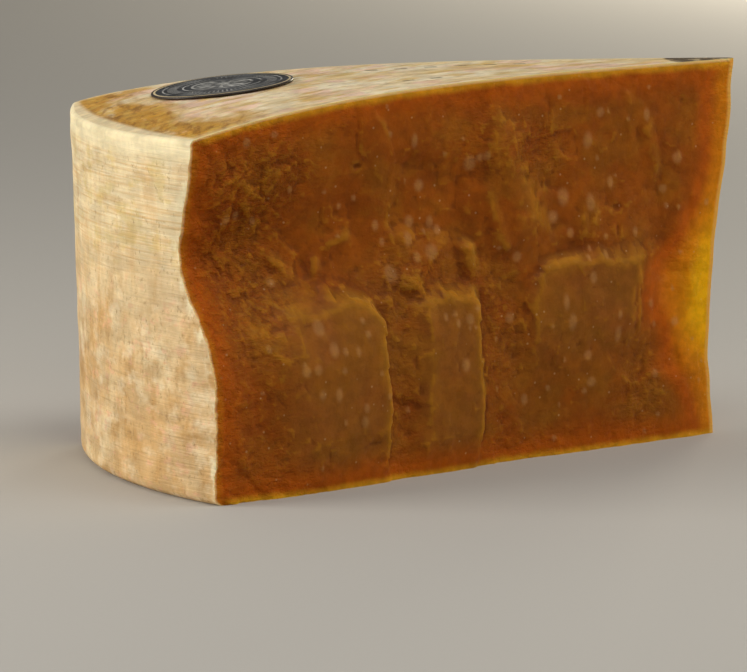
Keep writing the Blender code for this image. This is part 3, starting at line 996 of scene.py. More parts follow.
@dataclass(frozen=True)
class FaceRind:
    """Natural rind on the wheel's flat faces: brushed and oiled, pale, with golden stains towards the rim.

    A grey patch at the middle is what is left of a stamp, and two rows of short dashes are a plain print.
    A pale ring at the rounded edge by the rim and a pale line along the broken side are painted highlights.
    """

    name: str = "natural_rind_face"
    cream: str = "#E2CA9C"
    pale: str = "#F0E3C2"
    lilac: str = "#EBC6B0"
    straw: str = "#CFA850"
    gold: str = "#C28E2C"
    brown: str = "#8C5C1C"
    dash: str = "#6E5A30"
    stamp: str = "#413222"
    # painted highlight on the rounded edge by the rim and along the broken side
    border: str = "#EFE0B8"
    # painted highlight right along the broken side
    edge: str = "#EED8A0"
    stroke_turn: float = math.radians(21.0)
    stain_turn: float = math.radians(-23.0)
    stamp_mm: float = 27.0
    rows: tuple[tuple[float, float, float], ...] = ((-8.6, 80.0, 156.0), (7.6, 126.0, 156.0))
    dash_step: float = 1.9 * MM
    dash_half: tuple[float, float] = (1.5 * MM, 0.9 * MM)
    light: Light = Light(0.40, 0.60, specular=0.35, translucency=0.08, bump_mm=0.4)

    def build(self) -> bpy.types.Material:
        """Makes the material.

        Returns:
            The material.
        """
        paint = Paint(self.name, self.cream, Skin.UNROLLED)
        split = add_node(paint.tree, "ShaderNodeSeparateXYZ", {0: paint.place}).outputs
        plan = add_node(paint.tree, "ShaderNodeVectorMath", {0: paint.place}, operation="LENGTH")
        reach = plan.outputs["Value"]
        gap = add_node(paint.tree, "ShaderNodeAttribute", attribute_name="from_break").outputs["Fac"]
        share, clouds = paint.share, paint.clouds
        turn, stain = self.stroke_turn, self.stain_turn

        paint.lay(self.pale, share(clouds((30.0, 20.0, 9.0), 4.0, 0.1, turn), 0.36, 0.58))
        paint.lay(self.lilac, share(clouds((18.0, 14.0, 9.0), 3.0, 0.5, turn), 0.48, 0.60, 0.8))
        paint.lay(self.straw, share(clouds((64.0, 40.0, 9.0), 3.0, 4.3), 0.46, 0.62, 0.5))
        paint.lay(self.straw, share(clouds((22.0, 7.0, 9.0), 5.0, 0.9, turn), 0.49, 0.64, 0.7))
        ports = {0: clouds((22.0, 40.0, 9.0), 3.0, 3.9), 1: 60.0 * MM, 2: reach}
        stained = add_node(paint.tree, "ShaderNodeMath", ports, operation="MULTIPLY_ADD").outputs[0]
        outer = share(stained, 252.0 * MM, 274.0 * MM)
        paint.lay(self.gold, share(clouds((12.0, 34.0, 9.0), 5.0, 1.2, stain), 0.28, 0.46, 0.95, outer))
        paint.lay(self.brown, share(clouds((4.0, 15.0, 9.0), 6.0, 1.6, stain), 0.49, 0.64, 0.7, outer))
        paint.lay(self.straw, share(clouds((4.0, 11.0, 9.0), 4.0, 2.6, stain), 0.50, 0.64, 0.7, outer))
        thin = clouds((9.0, 2.0, 9.0), 5.0, 2.0, turn)
        paint.lay(self.brown, share(thin, 0.55, 0.72, 0.5))
        # painted highlight on the rounded edge by the rim
        paint.lay(self.border, share(reach, 257.5 * MM, 260.5 * MM, 0.8))
        # painted highlight along the broken side
        paint.lay(self.border, share(gap, 6.0, 1.5, 0.3))
        paint.lay(self.edge, share(gap, 1.6, 0.5, 0.85))
        worn = share(clouds((6.0, 6.0, 9.0), 3.0, 2.3), 0.24, 0.46)
        stamped = share(reach, (self.stamp_mm + 1.0) * MM, (self.stamp_mm - 1.5) * MM, 0.95, worn)
        paint.lay(self.stamp, stamped)
        for row in self.rows:
            paint.lay(self.dash, self.dashes(paint, split, row, worn))
        paint.tone(clouds((9.0, 4.0, 9.0), 5.0, 3.3, turn), 0.36, 0.66, 0.86, 1.11)

        paint.emboss(clouds((8.0, 2.4, 9.0), 5.0, 1.7, turn), 1.0)
        paint.emboss(clouds((2.0, 2.0, 9.0), 3.0, 0.4), 0.5)
        return paint.close(self.light, clouds((20.0, 8.0, 9.0), 3.0, 2.5, turn))

    def dashes(self, paint: Paint, split: Any, row: tuple[float, float, float], worn: Any) -> Any:
        """Makes a row of short dashes along a radius.

        Args:
            paint: The finish.
            split: The place's separate coordinates.
            row: The row's angle in degrees, and how far from the wheel's middle it starts and ends, in mm.
            worn: Share of the print that is left.

        Returns:
            The dashes' share.
        """
        degrees, start_mm, end_mm = row
        c, s = math.cos(math.radians(degrees)), math.sin(math.radians(degrees))
        out = []
        for first, second in ((-c, -s), (s, -c)):
            ports = {0: split[0], 1: first}
            part = add_node(paint.tree, "ShaderNodeMath", ports, operation="MULTIPLY").outputs[0]
            ports = {0: split[1], 1: second, 2: part}
            out.append(add_node(paint.tree, "ShaderNodeMath", ports, operation="MULTIPLY_ADD").outputs[0])
        along, off = out
        ports = {0: along, 1: 1.0 / self.dash_step}
        wave = add_node(paint.tree, "ShaderNodeMath", ports, operation="MULTIPLY").outputs[0]
        wave = add_node(paint.tree, "ShaderNodeMath", {0: wave}, operation="SINE").outputs[0]
        off = add_node(paint.tree, "ShaderNodeMath", {0: off}, operation="ABSOLUTE").outputs[0]
        line = paint.share(off, *self.dash_half, 0.8, worn)
        begun = paint.share(along, (start_mm - 1.0) * MM, (start_mm + 1.0) * MM, 1.0, line)
        ended = paint.share(along, (end_mm + 1.0) * MM, (end_mm - 1.0) * MM, 1.0, begun)
        return paint.share(wave, 0.0, 0.5, 1.0, ended)


@dataclass(frozen=True)
class PrintedDisc:
    """A thin printed disc pressed on the young rind.

    It is matt slate grey, with plain pale rings, even ticks and a plain rosette, half rubbed off. A ring is
    its radius and half its width, in mm.
    """

    name: str = "printed_slate_disc"
    slate: str = "#383B41"
    dark: str = "#1A1C20"
    pale: str = "#D2D2CC"
    ring: str = "#CDBB92"
    outline: str = "#2A2220"
    centre: tuple[float, float] = (0.0, 0.0)
    ticks: float = 72.0
    tick_ring: tuple[float, float] = (19.4, 1.9)
    petals: float = 12.0
    petal_ring: tuple[float, float] = (7.2, 2.6)
    plain_rings: tuple[tuple[float, float], ...] = ((23.0, 0.3), (15.2, 0.3), (11.6, 0.5), (2.0, 1.0))
    edge_ring: tuple[float, float] = (26.3, 0.4)
    outline_ring: tuple[float, float] = (27.4, 0.5)
    soft_mm: float = 0.15
    light: Light = Light(0.34, 0.52, specular=0.5, ior=1.5, bump_mm=0.1)

    def build(self) -> bpy.types.Material:
        """Makes the material.

        Returns:
            The material.
        """
        paint = Paint(self.name, self.slate, Skin.SOLID)
        tree, share = paint.tree, paint.share
        ports = {"Vector": paint.place, "Location": (*self.centre, 0.0)}
        local = add_node(tree, "ShaderNodeMapping", ports, vector_type="TEXTURE").outputs[0]
        split = add_node(tree, "ShaderNodeSeparateXYZ", {0: local}).outputs
        flat = add_node(tree, "ShaderNodeCombineXYZ", {0: split[0], 1: split[1]}).outputs[0]
        reach = add_node(tree, "ShaderNodeVectorMath", {0: flat}, operation="LENGTH").outputs["Value"]
        turn = add_node(tree, "ShaderNodeMath", {0: split[1], 1: split[0]}, operation="ARCTAN2").outputs[0]

        def ring(size: tuple[float, float], most: float = 1.0, mask: Any = None) -> Any:
            """Makes a ring round the disc's middle.

            Args:
                size: The ring's radius and half its width.
                most: Its largest share.
                mask: Another share that it is multiplied by.

            Returns:
                The ring's share.
            """
            at_mm, half_mm = size
            ports = {0: reach, 1: at_mm * MM}
            off = add_node(tree, "ShaderNodeMath", ports, operation="SUBTRACT").outputs[0]
            off = add_node(tree, "ShaderNodeMath", {0: off}, operation="ABSOLUTE").outputs[0]
            return share(off, (half_mm + self.soft_mm) * MM, (half_mm - self.soft_mm) * MM, most, mask)

        def parts(count: float) -> Any:
            """Makes even parts round the disc.

            Args:
                count: How many.

            Returns:
                The parts' share.
            """
            wave = add_node(tree, "ShaderNodeMath", {0: turn, 1: count}, operation="MULTIPLY").outputs[0]
            wave = add_node(tree, "ShaderNodeMath", {0: wave}, operation="SINE").outputs[0]
            return share(wave, 0.1, 0.7, 1.0, left)

        paint.lay(self.dark, share(paint.clouds((9.0, 6.0, 6.0), 4.0), 0.38, 0.62))
        left = share(paint.clouds((14.0, 14.0, 14.0), 2.0, 0.3), 0.34, 0.62, 0.9)
        paint.lay(self.pale, share(reach, 13.0 * MM, 9.0 * MM, 0.28, left))
        paint.lay(self.pale, ring(self.tick_ring, 0.6, parts(self.ticks)))
        paint.lay(self.pale, ring(self.petal_ring, 0.8, parts(self.petals)))
        for plain in self.plain_rings:
            paint.lay(self.pale, ring(plain, 0.8, left))
        paint.lay(self.ring, ring(self.edge_ring))
        paint.lay(self.outline, ring(self.outline_ring))

        fibre = paint.clouds((0.9, 0.9, 0.9), 3.0, 0.6)
        paint.emboss(fibre, 1.0)
        return paint.close(self.light, fibre)


# -------------------- The chunk --------------------


@dataclass(frozen=True)
class Spot:
    """A pale crystal on a broken side: its place and its half sizes in mm."""

    along: float
    up: float
    half_u: float
    half_v: float


@dataclass(frozen=True)
class Wave:
    """Uneven rind: its height and its size in mm, and its seed."""

    height: float
    cell: float
    seed: int

    def at(self, a: np.ndarray, b: np.ndarray) -> np.ndarray:
        """The noise from -1 to 1 at each point, from its two flat coordinates."""
        return patches(a, b, self.cell * MM, self.seed)


class Coat(Enum):
    """The chunk's three finishes, by their place among its materials."""

    PASTE = 0
    RIM = 1
    FACE = 2


@dataclass
class Shell:
    """The points of the chunk's skin so far: each is there once, because sheets share their borders."""

    points: list[np.ndarray] = field(default_factory=list)
    from_break: list[np.ndarray] = field(default_factory=list)
    count: int = 0

    def add(self, grid: np.ndarray, from_break: np.ndarray) -> np.ndarray:
        """Adds a grid of new points.

        Args:
            grid: The points.
            from_break: How far each is from the nearest broken side, in mm.

        Returns:
            The points' numbers, laid out like the grid.
        """
        numbers = self.count + np.arange(grid.shape[0] * grid.shape[1]).reshape(grid.shape[:2])
        self.points.append(grid.reshape(-1, 3))
        self.from_break.append(from_break.ravel())
        self.count += numbers.size
        return numbers


@dataclass
class Broken:
    """One broken side in the making: its points, their numbers, and the values that its finish reads."""

    points: np.ndarray
    numbers: np.ndarray
    values: dict[str, np.ndarray]


@dataclass
class Sheet:
    """A grid of numbered points with one finish. Its skin is two flat coordinates for every point."""

    numbers: np.ndarray
    coat: Coat
    skin: tuple[np.ndarray, np.ndarray]

    def quads(self) -> np.ndarray:
        """The sheet's faces, each as four point numbers."""
        n = self.numbers
        return np.stack([n[:-1, :-1], n[1:, :-1], n[1:, 1:], n[:-1, 1:]], axis=-1).reshape(-1, 4)

    def borders(self) -> set[tuple[int, int]]:
        """The edges round the sheet, as pairs of point numbers."""
        n = self.numbers
        return {pair for line in (n[0], n[-1], n[:, 0], n[:, -1]) for pair in edges_of(line)}


@dataclass
class Chunk:
    """The wedge of cheese: its mesh, as six grids that share their borders, and its three finishes.

    A sheet's unevenness fades out over one part in so many of its width, which is its borders, and of its
    length, which is its ends. The rim's also fades out at its foot and its top, which is a height and a run.
    """

    wheel: Wheel = field(default_factory=Wheel)
    wedge: Wedge = field(default_factory=Wedge)
    columns: int = 276
    end_columns: int = 14
    end_share: float = 0.03
    wall_rows: int = 124
    round_rows: int = 5
    cross: int = 28
    small_spots: int = 80
    more_far_spots: int = 40
    spot_rise: float = 0.2 * MM
    spot_size: float = 0.9
    spot_soft: tuple[float, float] = (0.3, 1.1)
    spots_along: tuple[float, float] = (12.0, 250.0)
    spots_up: tuple[float, float] = (4.0, 142.0)
    # painted glow near the thin edge: how far it reaches and where it is brightest
    glow_up: float = 59.0
    glow_half: float = 30.0
    glow_reach: float = 14.0
    glow_more: float = 13.5
    glow_ragged: float = 0.25
    bright_up: float = 58.0
    bright_half: float = 27.0
    bright_least: float = 0.60
    # painted highlight and painted shade on the broken sides: how raised forms and slopes are told
    proud_blur: int = 60
    proud_unit: float = 1.3 * MM
    fine_blur: int = 5
    fine_unit: float = 0.22 * MM
    facing_blur: int = 160
    facing_up: float = 0.6
    facing_crumbled: float = 0.5
    foot_gap: float = 1.2 * MM
    rounding: float = 1.5
    rim_borders: float = 14.0
    rim_low: tuple[float, float] = (6.0 * MM, 8.0 * MM)
    rim_high: tuple[float, float] = (126.0 * MM, 10.0 * MM)
    face_borders: float = 8.0
    face_ends: float = 20.0
    rim_waves: tuple[Wave, ...] = (Wave(0.45, 30.0, 71), Wave(0.2, 9.0, 72))
    face_waves: tuple[Wave, ...] = (Wave(0.16, 24.0, 81), Wave(0.06, 8.0, 82))
    seed: int = 7
    spots: tuple[Spot, ...] = tuple(
        Spot(*row)
        for row in (
            (210.2, 62.2, 2.8, 3.2), (205.1, 53.8, 2.4, 3.2), (193.5, 52.0, 1.2, 2.2),
            (219.5, 47.0, 2.2, 2.2), (214.0, 47.3, 2.2, 2.2), (201.0, 45.5, 1.4, 1.4),
            (212.0, 37.5, 1.8, 2.0), (204.0, 36.8, 1.8, 3.0), (150.4, 84.9, 3.2, 3.4),
            (158.7, 97.0, 2.2, 2.4), (160.5, 90.5, 2.0, 3.0), (157.6, 83.4, 1.6, 2.4),
            (169.5, 78.0, 2.8, 3.6), (154.5, 110.5, 2.6, 2.6), (131.7, 117.6, 2.8, 3.2),
            (125.3, 120.2, 1.6, 1.8), (158.3, 128.0, 1.6, 3.2), (110.5, 80.0, 2.4, 2.2),
            (113.8, 56.5, 2.4, 2.4), (136.6, 58.3, 2.2, 2.4), (139.5, 41.0, 2.2, 2.8),
            (74.2, 122.5, 2.4, 3.6), (68.1, 133.0, 2.2, 2.2), (44.5, 130.5, 1.6, 2.8),
            (28.5, 112.5, 2.6, 2.6), (35.0, 100.5, 2.0, 1.8), (62.0, 105.0, 1.6, 2.6),
            (85.5, 101.0, 2.8, 3.8), (73.0, 98.0, 2.2, 3.8), (90.5, 93.5, 2.8, 2.6),
            (61.5, 45.5, 1.8, 3.6), (76.0, 38.5, 2.2, 2.2), (73.5, 27.5, 2.4, 2.2),
            (88.0, 60.5, 1.6, 3.4), (85.0, 52.5, 2.2, 3.8), (30.5, 47.5, 2.2, 2.0),
        )
    )

    def __post_init__(self) -> None:
        """Works out the rim's outline and the wheel's middle, which every sheet uses."""
        self.profile = self.wheel.rim_profile(self.wall_rows, self.round_rows)
        self.middle = np.array([self.wheel.middle_x, self.wheel.middle_y, 0.0])

    def spot_field(self, u: np.ndarray, v: np.ndarray, side: BrokenSide) -> np.ndarray:
        """Works out where the crystals lie on a side.

        Args:
            u: Distance from the thin edge of each point.
            v: Height of each point.
            side: The broken side.

        Returns:
            1 in the middle of a crystal, falling softly to 0 off it.
        """
        random = np.random.default_rng(self.seed + side.seed)
        shown = side.side is Side.SHOWN
        spots = list(self.spots) if shown else []
        for _ in range(self.small_spots + (0 if shown else self.more_far_spots)):
            size = self.spot_size * (1.0 + random.random() ** 2)
            along, up = random.uniform(*self.spots_along), random.uniform(*self.spots_up)
            spots.append(Spot(along, up, size, size * random.uniform(0.9, 1.5)))
        whole, soft = self.spot_soft
        out = np.zeros_like(u)
        for spot in spots:
            x = (u / MM - spot.along) / spot.half_u
            y = (v / MM - spot.up) / spot.half_v
            out = np.maximum(out, 1.0 - ease((np.sqrt(x * x + y * y) - whole) / soft))
        return out

    def painted_glow(self, u: np.ndarray, v: np.ndarray) -> np.ndarray:
        """Works out the glow painted into the paste where light would come through near the thin edge, most
        at two fifths of the height.

        Args:
            u: Distance from the thin edge of each point.
            v: Height of each point.

        Returns:
            The painted glow from 0 to 1.
        """
        up = (v / MM - self.glow_up) / self.glow_half
        reach = self.glow_reach + self.glow_more * np.exp(-up * up)
        reach = reach * (1.0 + self.glow_ragged * patches(u, v, 14.0 * MM, self.seed + 1))
        middle = np.exp(-(((v / MM - self.bright_up) / self.bright_half) ** 2))
        bright = self.bright_least + (1.0 - self.bright_least) * middle
        return bright * np.exp(-((np.maximum(u, 0.0) / MM / reach) ** 2.0))

    def side(self, side: BrokenSide, shell: Shell) -> Broken:
        """Builds one broken side.

        Args:
            side: Which side, with its relief.
            shell: Takes the side's points.

        Returns:
            The side, from the thin edge to the rim and from the ground up.
        """
        cut, profile = self.wedge, self.profile
        along = graded(self.columns, self.end_share, self.end_columns)
        inner = cut.thin_edge_line(profile[:, 1])[None, :]
        u = inner + along[:, None] * (profile[None, :, 0] - inner)
        top = self.wheel.crown(along * profile[-1, 0])[:, None]
        z = (profile[:, 1] / profile[-1, 1])[None, :] * top
        clean = ease((top - z) / cut.clean_edge)
        near_edge = ease(u / cut.thin_edge_fade)
        raised = side.stand_out(u, z)
        spots = self.spot_field(u, z, side)
        detail = side.grain(u, z) - side.grain_down + self.spot_rise * spots
        detail = detail * ease((top - z) / side.grain_fade)

        pinch = cut.thin_edge_pinch * cut.broken_back(profile[:, 1])[None, :]
        out = (raised * clean) * near_edge - (1.0 - near_edge) * pinch
        out = out + detail * near_edge + cut.thin_edge / 2.0
        if side.side is Side.FAR:
            worn = np.clip((u - self.wheel.radius + cut.far_corner_reach) / cut.far_corner_reach, 0.0, 1.0)
            out = out - cut.far_corner_wear * worn**3
        flat_u = np.minimum(u, np.sqrt(np.maximum(profile[None, :, 0] ** 2 - out**2, 0.0)))
        half, sign = cut.angle / 2.0, side.side.value
        x = -flat_u * math.cos(half) + out * math.sin(half) + self.wheel.middle_x
        y = -sign * (flat_u * math.sin(half) + out * math.cos(half)) + self.wheel.middle_y

        rim_gap, gone = profile[None, :, 0] - flat_u, flat_u - inner
        # proud, fine and facing set the paste's painted highlights and painted shade
        proud = (raised - blurred(raised, self.proud_blur)) * clean * near_edge
        fine = (detail + raised - blurred(detail + raised, self.fine_blur)) * clean * near_edge
        facing = self.facing(u, z, raised * clean) * near_edge
        values = {
            "under_rind": np.minimum(np.minimum(top - z, rim_gap), z + self.foot_gap) / MM,
            "under_rim": rim_gap / MM,
            "from_thin_edge": gone / MM,
            "painted_glow": self.painted_glow(gone, z),
            "proud": proud / self.proud_unit,
            "fine": fine / self.fine_unit,
            "facing": facing * (1.0 - self.facing_crumbled * side.crumbly(u, z)),
            "plate": side.plate(u, z) * clean,
            "crystal": spots,
            "crumbly": side.crumbly(u, z),
        }
        points = np.stack([x, y, z], axis=-1)
        return Broken(points, shell.add(points, np.zeros_like(u)), values)

    def facing(self, u: np.ndarray, z: np.ndarray, raised: np.ndarray) -> np.ndarray:
        """Works out how much each point of a side faces up and towards the rim, where edges catch light.
        The paste paints highlights where it is above 0 and shade where it is below.

        Args:
            u: Distance from the thin edge of each point.
            z: Height of each point.
            raised: How far each point stands out.

        Returns:
            The share, below 0 where a point faces down or towards the thin edge.
        """
        forms = blurred(raised, 2) - blurred(raised, self.facing_blur)
        least = 0.01 * MM
        upward, sideways = np.zeros_like(u), np.zeros_like(u)
        upward[:, 1:] = -(forms[:, 1:] - forms[:, :-1]) / np.maximum(z[:, 1:] - z[:, :-1], least)
        sideways[1:, :] = (forms[1:, :] - forms[:-1, :]) / np.maximum(u[1:, :] - u[:-1, :], least)
        return blurred(self.facing_up * np.clip(upward, -1.0, 1.0) + np.clip(sideways, -1.0, 1.0), 2)

    def across(self, near: np.ndarray, far: np.ndarray, share: float, bow: float) -> np.ndarray:
        """Makes a line of points between the two sides, straight at the thin edge and round at the rim.

        Args:
            near: Point on the shown side.
            far: Point on the far side.
            share: How round the line is, from 0 to 1.
            bow: How far it bows out beyond that at its middle.

        Returns:
            The points, both ends included.
        """
        middle = self.middle
        t = np.linspace(0.0, 1.0, self.cross + 1)[:, None]
        flat = near[None, :] * (1.0 - t) + far[None, :] * t
        ends = [point - middle for point in (near, far)]
        radii = [math.hypot(p[0], p[1]) for p in ends]
        turns = [math.atan2(p[1], -p[0]) for p in ends]
        radius = radii[0] * (1.0 - t) + radii[1] * t + bow * 4.0 * t * (1.0 - t)
        turn = turns[0] * (1.0 - t) + turns[1] * t
        x, y = middle[0] - radius * np.cos(turn), middle[1] + radius * np.sin(turn)
        bent = np.concatenate([x, y, flat[:, 2:]], axis=1)
        return flat * (1.0 - share) + bent * share

    def roughen_rim(self, lines: np.ndarray) -> None:
        """Makes the rim's sheet a little uneven away from its borders.

        Args:
            lines: The sheet's points, changed in place.
        """
        plan = lines - self.middle
        reach = np.hypot(plan[..., 0], plan[..., 1])
        arc, z = np.arctan2(plan[..., 1], -plan[..., 0]) * self.wheel.radius, plan[..., 2]
        wave = sum(part.height * MM * part.at(arc, z) for part in self.rim_waves)
        across = np.linspace(0.0, 1.0, len(lines))[:, None]
        free = ease(across * self.rim_borders) * ease((1.0 - across) * self.rim_borders)
        (low, low_run), (high, high_run) = self.rim_low, self.rim_high
        free = free * ease((z - low) / low_run) * ease((high - z) / high_run)
        share = (wave * free) / reach
        lines[..., 0] += plan[..., 0] * share
        lines[..., 1] += plan[..., 1] * share

    def face_dips(self, line: np.ndarray, along: float) -> np.ndarray:
        """Works out how far the face's rind dips along one line across it.

        Args:
            line: The line's points.
            along: Its place from the thin edge, 0, to the rim, 1.

        Returns:
            The dip at each point, which is never a rise.
        """
        x, y = line[:, 0], line[:, 1]
        wave = sum(part.height * MM * (1.0 + part.at(x, y)) for part in self.face_waves)
        across = np.linspace(0.0, 1.0, len(line))
        free = ease(across * self.face_borders) * ease((1.0 - across) * self.face_borders)
        return wave * free * ease(along * self.face_ends) * ease((1.0 - along) * self.face_ends)

    def upright(self, sides: tuple[Broken, Broken], column: int, shell: Shell) -> np.ndarray:
        """Closes the chunk between its two broken sides at the rim or at the thin edge.

        Args:
            sides: The shown side and the far side.
            column: The sides' last column for the rim, or 0 for the thin edge.
            shell: Takes the sheet's own points.

        Returns:
            The sheet's point numbers, with those that it shares with the sides.
        """
        near, far = sides
        at_rim = float(column > 0)
        bow, rim = self.wheel.bow * at_rim, self.profile[-1, 0]
        pairs = zip(near.points[column], far.points[column])
        lines = np.stack([self.across(a, b, at_rim, bow) for a, b in pairs], axis=1)
        t = np.linspace(0.0, 1.0, self.cross + 1)
        lower = self.wheel.crown(rim + bow * 4.0 * t * (1.0 - t)) / self.wheel.crown(rim)
        lines[..., 2] *= lower[:, None]
        if column:
            self.roughen_rim(lines)
        width = np.linalg.norm(lines[-1] - lines[0], axis=-1)
        gap = width[None, :] * np.minimum(t, 1.0 - t)[:, None] / MM
        own = shell.add(lines[1:-1], gap[1:-1])
        return np.concatenate([near.numbers[column][None, :], own, far.numbers[column][None, :]])

    def level(
        self,
        sides: tuple[Broken, Broken],
        row: int,
        ends: tuple[np.ndarray, np.ndarray],
        shell: Shell,
    ) -> np.ndarray:
        """Closes the chunk between its two broken sides at the top or at the bottom.

        Args:
            sides: The shown side and the far side.
            row: The sides' last row for the top, or 0 for the bottom.
            ends: The point numbers of the sheets at the thin edge and at the rim.
            shell: Takes the sheet's own points.

        Returns:
            The sheet's point numbers, with those that it shares with the other sheets.
        """
        near, far = sides
        steps = np.arange(1, self.cross)
        lines, gaps = [], []
        for i in range(1, self.columns):
            share = i / self.columns
            bow = self.wheel.bow * share**self.wheel.bow_power
            rounded = float(ease(share * self.rounding))
            line = self.across(near.points[i, row], far.points[i, row], rounded, bow)
            if row:
                reach = np.hypot(line[:, 0] - self.wheel.middle_x, line[:, 1] - self.wheel.middle_y)
                line[:, 2] = self.wheel.crown(reach) - self.face_dips(line, share)
            lines.append(line[1:-1])
            width = np.linalg.norm(line[-1] - line[0])
            gaps.append(width * np.minimum(steps, steps[::-1]) / self.cross / MM)
        numbers = np.zeros((self.columns + 1, self.cross + 1), int)
        numbers[0], numbers[-1] = (end[:, row] for end in ends)
        numbers[:, 0], numbers[:, -1] = (side.numbers[:, row] for side in sides)
        numbers[1:-1, 1:-1] = shell.add(np.stack(lines), np.stack(gaps))
        return numbers

    def paste_values(self, sides: tuple[Broken, Broken], place: np.ndarray) -> dict[str, np.ndarray]:
        """Joins the values that the paste reads, with even ones for the points off the broken sides.

        Args:
            sides: The shown side and the far side.
            place: All the chunk's points, the sides' first.

        Returns:
            The values at each point, by name.
        """
        even = {"under_rind": 20.0, "under_rim": 250.0, "from_thin_edge": 2.0, "crumbly": 0.2}
        off = place[sum(side.numbers.size for side in sides) :]
        values = {}
        for name in PASTE_VALUES:
            rest = np.full(len(off), even.get(name, 0.0))
            if name == "painted_glow":
                rest = self.painted_glow(rest, off[:, 2])
            values[name] = np.concatenate([side.values[name].ravel() for side in sides] + [rest])
        return values

    def build(self, finishes: list[bpy.types.Material]) -> bpy.types.Object:
        """Builds the whole chunk.

        Args:
            finishes: The materials of the broken sides, the rim and the flat faces.

        Returns:
            The finished piece.
        """
        shell = Shell()
        sides = self.side(SHOWN_SIDE, shell), self.side(FAR_SIDE, shell)
        thin = self.upright(sides, 0, shell)
        rim = self.upright(sides, self.columns, shell)
        top = self.level(sides, len(self.profile) - 1, (thin, rim), shell)
        bottom = self.level(sides, 0, (thin, rim), shell)
        low, high = (np.array(corner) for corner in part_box("cheese"))
        place = np.clip(np.concatenate(shell.points), low, high)
        x, y, z = (place - self.middle).T
        arc = np.arctan2(y, -x) * self.wheel.radius
        sheets = (
            Sheet(sides[0].numbers.T, Coat.PASTE, (x, z)),
            Sheet(sides[1].numbers, Coat.PASTE, (x, z)),
            Sheet(rim.T, Coat.RIM, (arc, z)),
            Sheet(thin, Coat.PASTE, (y, z)),
            Sheet(top.T, Coat.FACE, (x, y)),
            Sheet(bottom, Coat.FACE, (x, y)),
        )
        values = self.paste_values(sides, place)
        values["from_break"] = np.concatenate(shell.from_break)
        sharp = set().union(*(sheet.borders() for sheet in sheets)) - set(edges_of(rim[:, -1]))
        mesh = self.mesh(place, sheets, sharp, values)
        for finish in finishes:
            mesh.materials.append(finish)
        return new_object("cheese_chunk", mesh)

    def mesh(
        self,
        place: np.ndarray,
        sheets: tuple[Sheet, ...],
        sharp: set[tuple[int, int]],
        values: dict[str, np.ndarray],
    ) -> bpy.types.Mesh:
        """Makes the mesh from its sheets.

        Args:
            place: The points.
            sheets: The sheets that cover the chunk.
            sharp: The edges that stay crisp, as pairs of point numbers.
            values: The values that the finishes read at each point, by name.

        Returns:
            The mesh, without its materials.
        """
        faces, coats, skins = [], [], []
        for sheet in sheets:
            quads = sheet.quads()
            faces.append(quads)
            coats.append(np.full(len(quads), sheet.coat.value))
            skins.append(np.stack([flat[quads] for flat in sheet.skin], axis=-1))
        mesh = bpy.data.meshes.new("cheese_chunk")
        mesh.from_pydata(place.tolist(), [], np.concatenate(faces).tolist())
        mesh.polygons.foreach_set("material_index", np.concatenate(coats).astype(np.int32))
        mesh.polygons.foreach_set("use_smooth", np.ones(len(mesh.polygons), bool))
        ends = np.zeros(2 * len(mesh.edges), np.int32)
        mesh.edges.foreach_get("vertices", ends)
        pairs = ends.reshape(-1, 2).tolist()
        mesh.edges.foreach_set("use_edge_sharp", [(a, b) in sharp or (b, a) in sharp for a, b in pairs])
        skin = mesh.uv_layers.new(name=Skin.UNROLLED.value)
        skin.data.foreach_set("uv", np.concatenate(skins).astype(np.float32).ravel())
        for name, numbers in values.items():
            layer = mesh.attributes.new(name, "FLOAT", "POINT")
            layer.data.foreach_set("value", numbers.astype(np.float32))
        mesh.update()
        return mesh


# -------------------- The label --------------------


